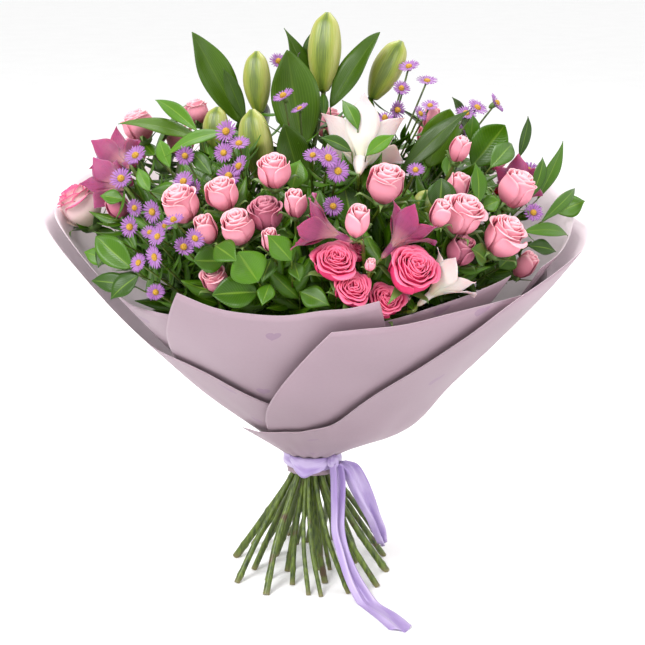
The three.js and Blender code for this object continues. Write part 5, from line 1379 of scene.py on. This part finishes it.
for bunch, stems in plants.items():
    buds = [item for stem in stems for item in stem["items"] if item["kind"] == "bud"]
    if not buds:
        continue
    petals, hips = [], []
    for bud in buds:
        height = bud["width"] * (1.0 if bud["full"] else 1.25)
        middle = 0.5 * (bud["root"] + bud["tip"])
        at = bud["tip"] - 0.5 * height * bud["facing"] if bud["full"] else middle
        count, shut = (16, 0.2) if bud["full"] else (9, 0.85)
        petals += rose_petals(at, bud["facing"], bud["width"], height, count, shut, rng)
        hips += rose_hip(at, bud["facing"], bud["width"], height, rng)
    piece_of(piece_name(bunch, "buds"), petals, ROSE_SKINS["light"], [bunch])
    piece_of(piece_name(bunch, "hips"), hips, sepal, [bunch])

# ---- Alstroemeria and the open lily ----
# Trumpets of six petals: three broad outer ones and three narrow inner ones with dark streaks,
# with stamens in the throat.


def trumpet(name):
    at, facing, shape = trumpet_spot(name)
    spin = TRUMPETS[name]["spin"]
    rotation = Vector(UP).rotation_difference(Vector(facing)).to_matrix() @ Matrix.Rotation(spin, 3, "Z")
    rotation = np.array(rotation)
    length, flare = shape["length"], shape["flare"]
    petals, threads = [], []
    for i in range(6):
        angle = i * math.pi / 3
        width = shape["width"] * (0.72 if i % 2 else 1)
        t = np.linspace(0, 1, 19)[:, None]
        ends = [(1, 0), (0.12 * flare, 0.45 * length), (0.55 * flare, 0.85 * length)]
        ends = np.array([*ends, (flare, length * (1 - shape["curl"]))])
        weight = np.concatenate([(1 - t) ** 3, 3 * t * (1 - t) ** 2, 3 * t * t * (1 - t), t**3], 1)
        spine = weight @ ends
        table = [[0.02], [0.08], [0.16], [0.32], [0.47], [0.5], [0.39], [0.18], [0.012]]
        half = width * np.maximum(smooth_rows(table, 19), 0.015)
        u = np.linspace(-1, 1, 9)[None]
        way = np.gradient(spine, axis=0)
        way /= np.linalg.norm(way, axis=1, keepdims=True)
        keel = 0.08 * width * (1 - u**2) * np.sin(math.pi * t)
        keel = keel + 0.07 * width * np.sin(8 * t + 2 * i) * u * np.abs(u)
        keel = keel + 0.035 * width * np.sin(21 * t + 3 * i) * u**3 * np.abs(u) * t
        radial = spine[:, :1] + way[:, 1:] * keel
        z = spine[:, 1:] - way[:, :1] * keel
        local = np.stack([radial + 0 * u, u * half, z + 0 * u], 2)
        spun = np.array(Matrix.Rotation(angle, 3, "Z"))
        petals.append(blade(at + (local @ spun.T) @ rotation.T, 0.5, i % 2, rim=0.5))
        reach = np.linspace(0, 1, 9)[:, None]
        out, up = 2 + 0.16 * length * reach**2, length * (0.12 + 0.62 * reach)
        thread = np.concatenate([out, 0 * reach, up], 1)
        thread = at + (thread @ np.array(Matrix.Rotation(angle + 0.5, 3, "Z")).T) @ rotation.T
        threads.append((thread, np.array([0.45] * 7 + [1.2, 0.8]) * length / 50))
    throat = [(0.3, -shape["neck"]), (2.2, -0.6 * shape["neck"]), (2.9, 0)]
    throat += [(0.085 * length, 0.25 * length), (0.3, 0.3 * length)]
    a = circle(12)
    rings = [at + ring_of(a, r, z) @ rotation.T for r, z in throat]
    return petals, [round_form(rings)], threads


def trumpet_material(name, base, body, rim, streak, amount):
    made, tree, skin = new_material(
        name, Roughness=0.5, Sheen_Weight=0.2, Subsurface_Weight=0.25, Subsurface_Scale=0.005
    )
    own, (across, along, tone) = blade_spot(tree)
    vein = noise(tree, own, 5, 3, (8, 0.7, 1))
    dash = noise(tree, own, 9, 1, (3.2, 0.9, 1))
    shade = ramp(tree, along, [(0.1, base), (0.45, body), (1.0, rim)])
    shade = mix(tree, calc(tree, "MULTIPLY", vein, 0.35), shade, rim)
    streaked = calc(tree, "ADD", calc(tree, "MULTIPLY", tone, 0.6 * amount), 0.35 * amount)
    dark = calc(tree, "MULTIPLY", ramp(tree, dash, [(0.6, OFF), (0.64, ON)]), streaked)
    paint(tree, skin, mix(tree, dark, shade, streak), vein, 0.3, 0.0005)
    return made


mauve = trumpet_material(
    "alstroemeria_petal",
    base=colour(216, 156, 146),
    body=colour(140, 16, 86),
    rim=colour(188, 62, 134),
    streak=colour(54, 2, 30),
    amount=1,
)
cream = trumpet_material(
    "lily_petal",
    base=colour(236, 226, 170),
    body=colour(256, 244, 232),
    rim=colour(258, 228, 232),
    streak=colour(206, 150, 160),
    amount=0.3,
)
for name, spec in TRUMPETS.items():
    petals, throat, threads = trumpet(name)
    kind, slot = (cream, "lily_petal") if name == "lily_open" else (mauve, "alstroemeria_petal")
    kind = cream if name == "alstroemeria_6" else kind  # the white one beside the open hot pink rose
    piece_of(name + "_petals", petals + throat, kind, [name])
    mesh = skeleton_mesh(name, threads)
    grown(name + "_stamens", mesh, sweep, {"Sides": 6, "Bark": sepal}, [name])

# ---- Lily buds ----
# Long three-ridged buds, green with cream bands where the petals' edges meet. Each stands on the
# end of its stalk, with its petals still closed to a point.

bud_skin, tree, skin = new_material(
    "lily_bud", Roughness=0.38, Subsurface_Weight=0.12, Subsurface_Scale=0.005
)
own, (across, along, tone) = blade_spot(tree)
ridge = calc(tree, "COSINE", calc(tree, "MULTIPLY", across, 3 * math.pi))
fibre = noise(tree, own, 6, 3, (10, 0.8, 1))
lit = calc(tree, "ADD", calc(tree, "MULTIPLY", ridge, 0.3), calc(tree, "MULTIPLY", fibre, 0.9))
stops = [(0.1, colour(222, 220, 140)), (0.36, colour(176, 186, 72))]
stops += [(0.6, colour(134, 158, 40)), (0.7, colour(70, 106, 16))]
shade = ramp(tree, lit, stops)
ends = [(0.0, colour(104, 134, 36)), (0.35, colour(190, 200, 92)), (1.0, colour(150, 158, 50))]
shade = mix(tree, 0.25, shade, ramp(tree, along, ends))
paint(tree, skin, shade, fibre, 0.3, 0.0006)
# How wide the bud is, how far up that is and how much its three ridges stand out.
LILY_BUD = [
    (0.2, 0, 0), (0.45, 0.05, 0), (0.86, 0.28, 0.07), (1, 0.55, 0.11), (0.72, 0.84, 0.14),
    (0.16, 0.985, 0.06),
]

for bunch, stems in plants.items():
    rounds = []
    for item in (item for stem in stems for item in stem["items"] if item["kind"] == "lily_bud"):
        length = np.linalg.norm(item["tip"] - item["root"])
        base = frame_at(item["root"], item["facing"], np.array([0.3, 1, 0.2]))
        a = circle(30)
        rings = []
        for r, z, lobe in smooth_rows(LILY_BUD, 24):
            seam = 0.05 * np.abs(np.sin(1.5 * a)) ** 12
            reach = 0.5 * item["width"] * r * (1 + lobe * np.cos(3 * a) - seam)
            rings.append(in_frame(base, ring_of(a, reach, z * length)))
        rounds.append(round_form(rings))
    if rounds:
        piece_of(piece_name(bunch, "buds"), rounds, bud_skin, [bunch])

# ---- Asters ----
# Small daisies 23 mm across: a double ring of narrow violet rays round a yellow disc of florets,
# on a green cup.


def violet_ray(turn, low, reach, tone):
    t = np.linspace(0, 1, 6)[:, None]
    u = np.linspace(-1, 1, 3)[None]
    half = 0.85 * np.array([0.45, 0.8, 1, 1, 0.75, 0.2])[:, None]
    r = 2.4 + (reach - 2.4) * t
    z = low + 1.6 * np.sin(2.2 * t) * t + 0.25 * (1 - np.abs(u))
    return blade(turned_grid(r, u * half, z, turn), 0.3, tone)


rng = np.random.default_rng(31)
rays = []
for k in range(34):
    turn = math.pi * k / 17 + rng.uniform(-0.07, 0.07)
    rays.append(violet_ray(turn, -0.3 + 0.5 * (k % 2), rng.uniform(10, 11.6), rng.uniform(0, 1)))
rays = pattern("aster_ray_ring", rays)
a = circle(16)
disc = []
for r, z in ((2.6, -0.6), (3.5, 0.2), (3.5, 1.1), (2.9, 1.9), (1.8, 2.4), (0.6, 2.55)):
    wobble = 1 + 0.06 * np.cos(8 * a + 9 * z)
    disc.append(ring_of(a, r * wobble, z))
disc = pattern("aster_disc_form", [round_form(disc)])
cup = []
for r, z in ((0.9, -3.6), (2.2, -2.9), (3.1, -1.6), (3.3, -0.3), (2.4, 0)):
    cup.append(ring_of(a, r, z))
cup = pattern("aster_cup_form", [round_form(cup)])

violet, tree, skin = new_material("aster_ray", Roughness=0.5, Sheen_Weight=0.2)
own, (across, along, tone) = blade_spot(tree)
stops = [(0.0, colour(220, 190, 226)), (0.3, colour(198, 132, 214)), (1.0, colour(176, 96, 196))]
shade = ramp(tree, along, stops)
cloud = noise(tree, object_place(tree), 40, 2)
shade = mix(tree, calc(tree, "MULTIPLY", tone, 0.4), shade, colour(216, 160, 226))
shade = mix(tree, calc(tree, "MULTIPLY", cloud, 0.3), shade, colour(160, 84, 176))
paint(tree, skin, shade, calc(tree, "ABSOLUTE", across), 0.3, 0.0003)
yellow, tree, skin = new_material("aster_disc", Roughness=0.7)
floret = node(tree, "ShaderNodeTexVoronoi", {"Vector": object_place(tree), "Scale": 1300})
floret = floret.outputs["Distance"]
shade = ramp(tree, floret, [(0.1, colour(250, 206, 60)), (0.8, colour(196, 132, 20))])
paint(tree, skin, shade, floret, 0.7, 0.0005)

rng = np.random.default_rng(37)
for bunch, stems in plants.items():
    asters = [item for stem in stems for item in stem["items"] if item["kind"] == "aster"]
    if not asters:
        continue
    spots = []
    for item in asters:
        size = (rng.uniform(0.68, 0.98),) * 2 + (rng.uniform(0.8, 2.2),)
        facing = unit(item["facing"] + 0.4 * rng.normal(size=3))
        spots.append((item["root"] + ASTER_DEPTH * item["facing"], rng.normal(size=3), facing, size))
    for part, head, kind in (("rays", rays, violet), ("discs", disc, yellow), ("cups", cup, sepal)):
        inputs = {"Head": head, "Skin": kind}
        grown(f"{bunch}_{part}", points_mesh(bunch, spots), scatter, inputs, [bunch])
for form in (rays, disc, cup):
    bpy.data.objects.remove(form)
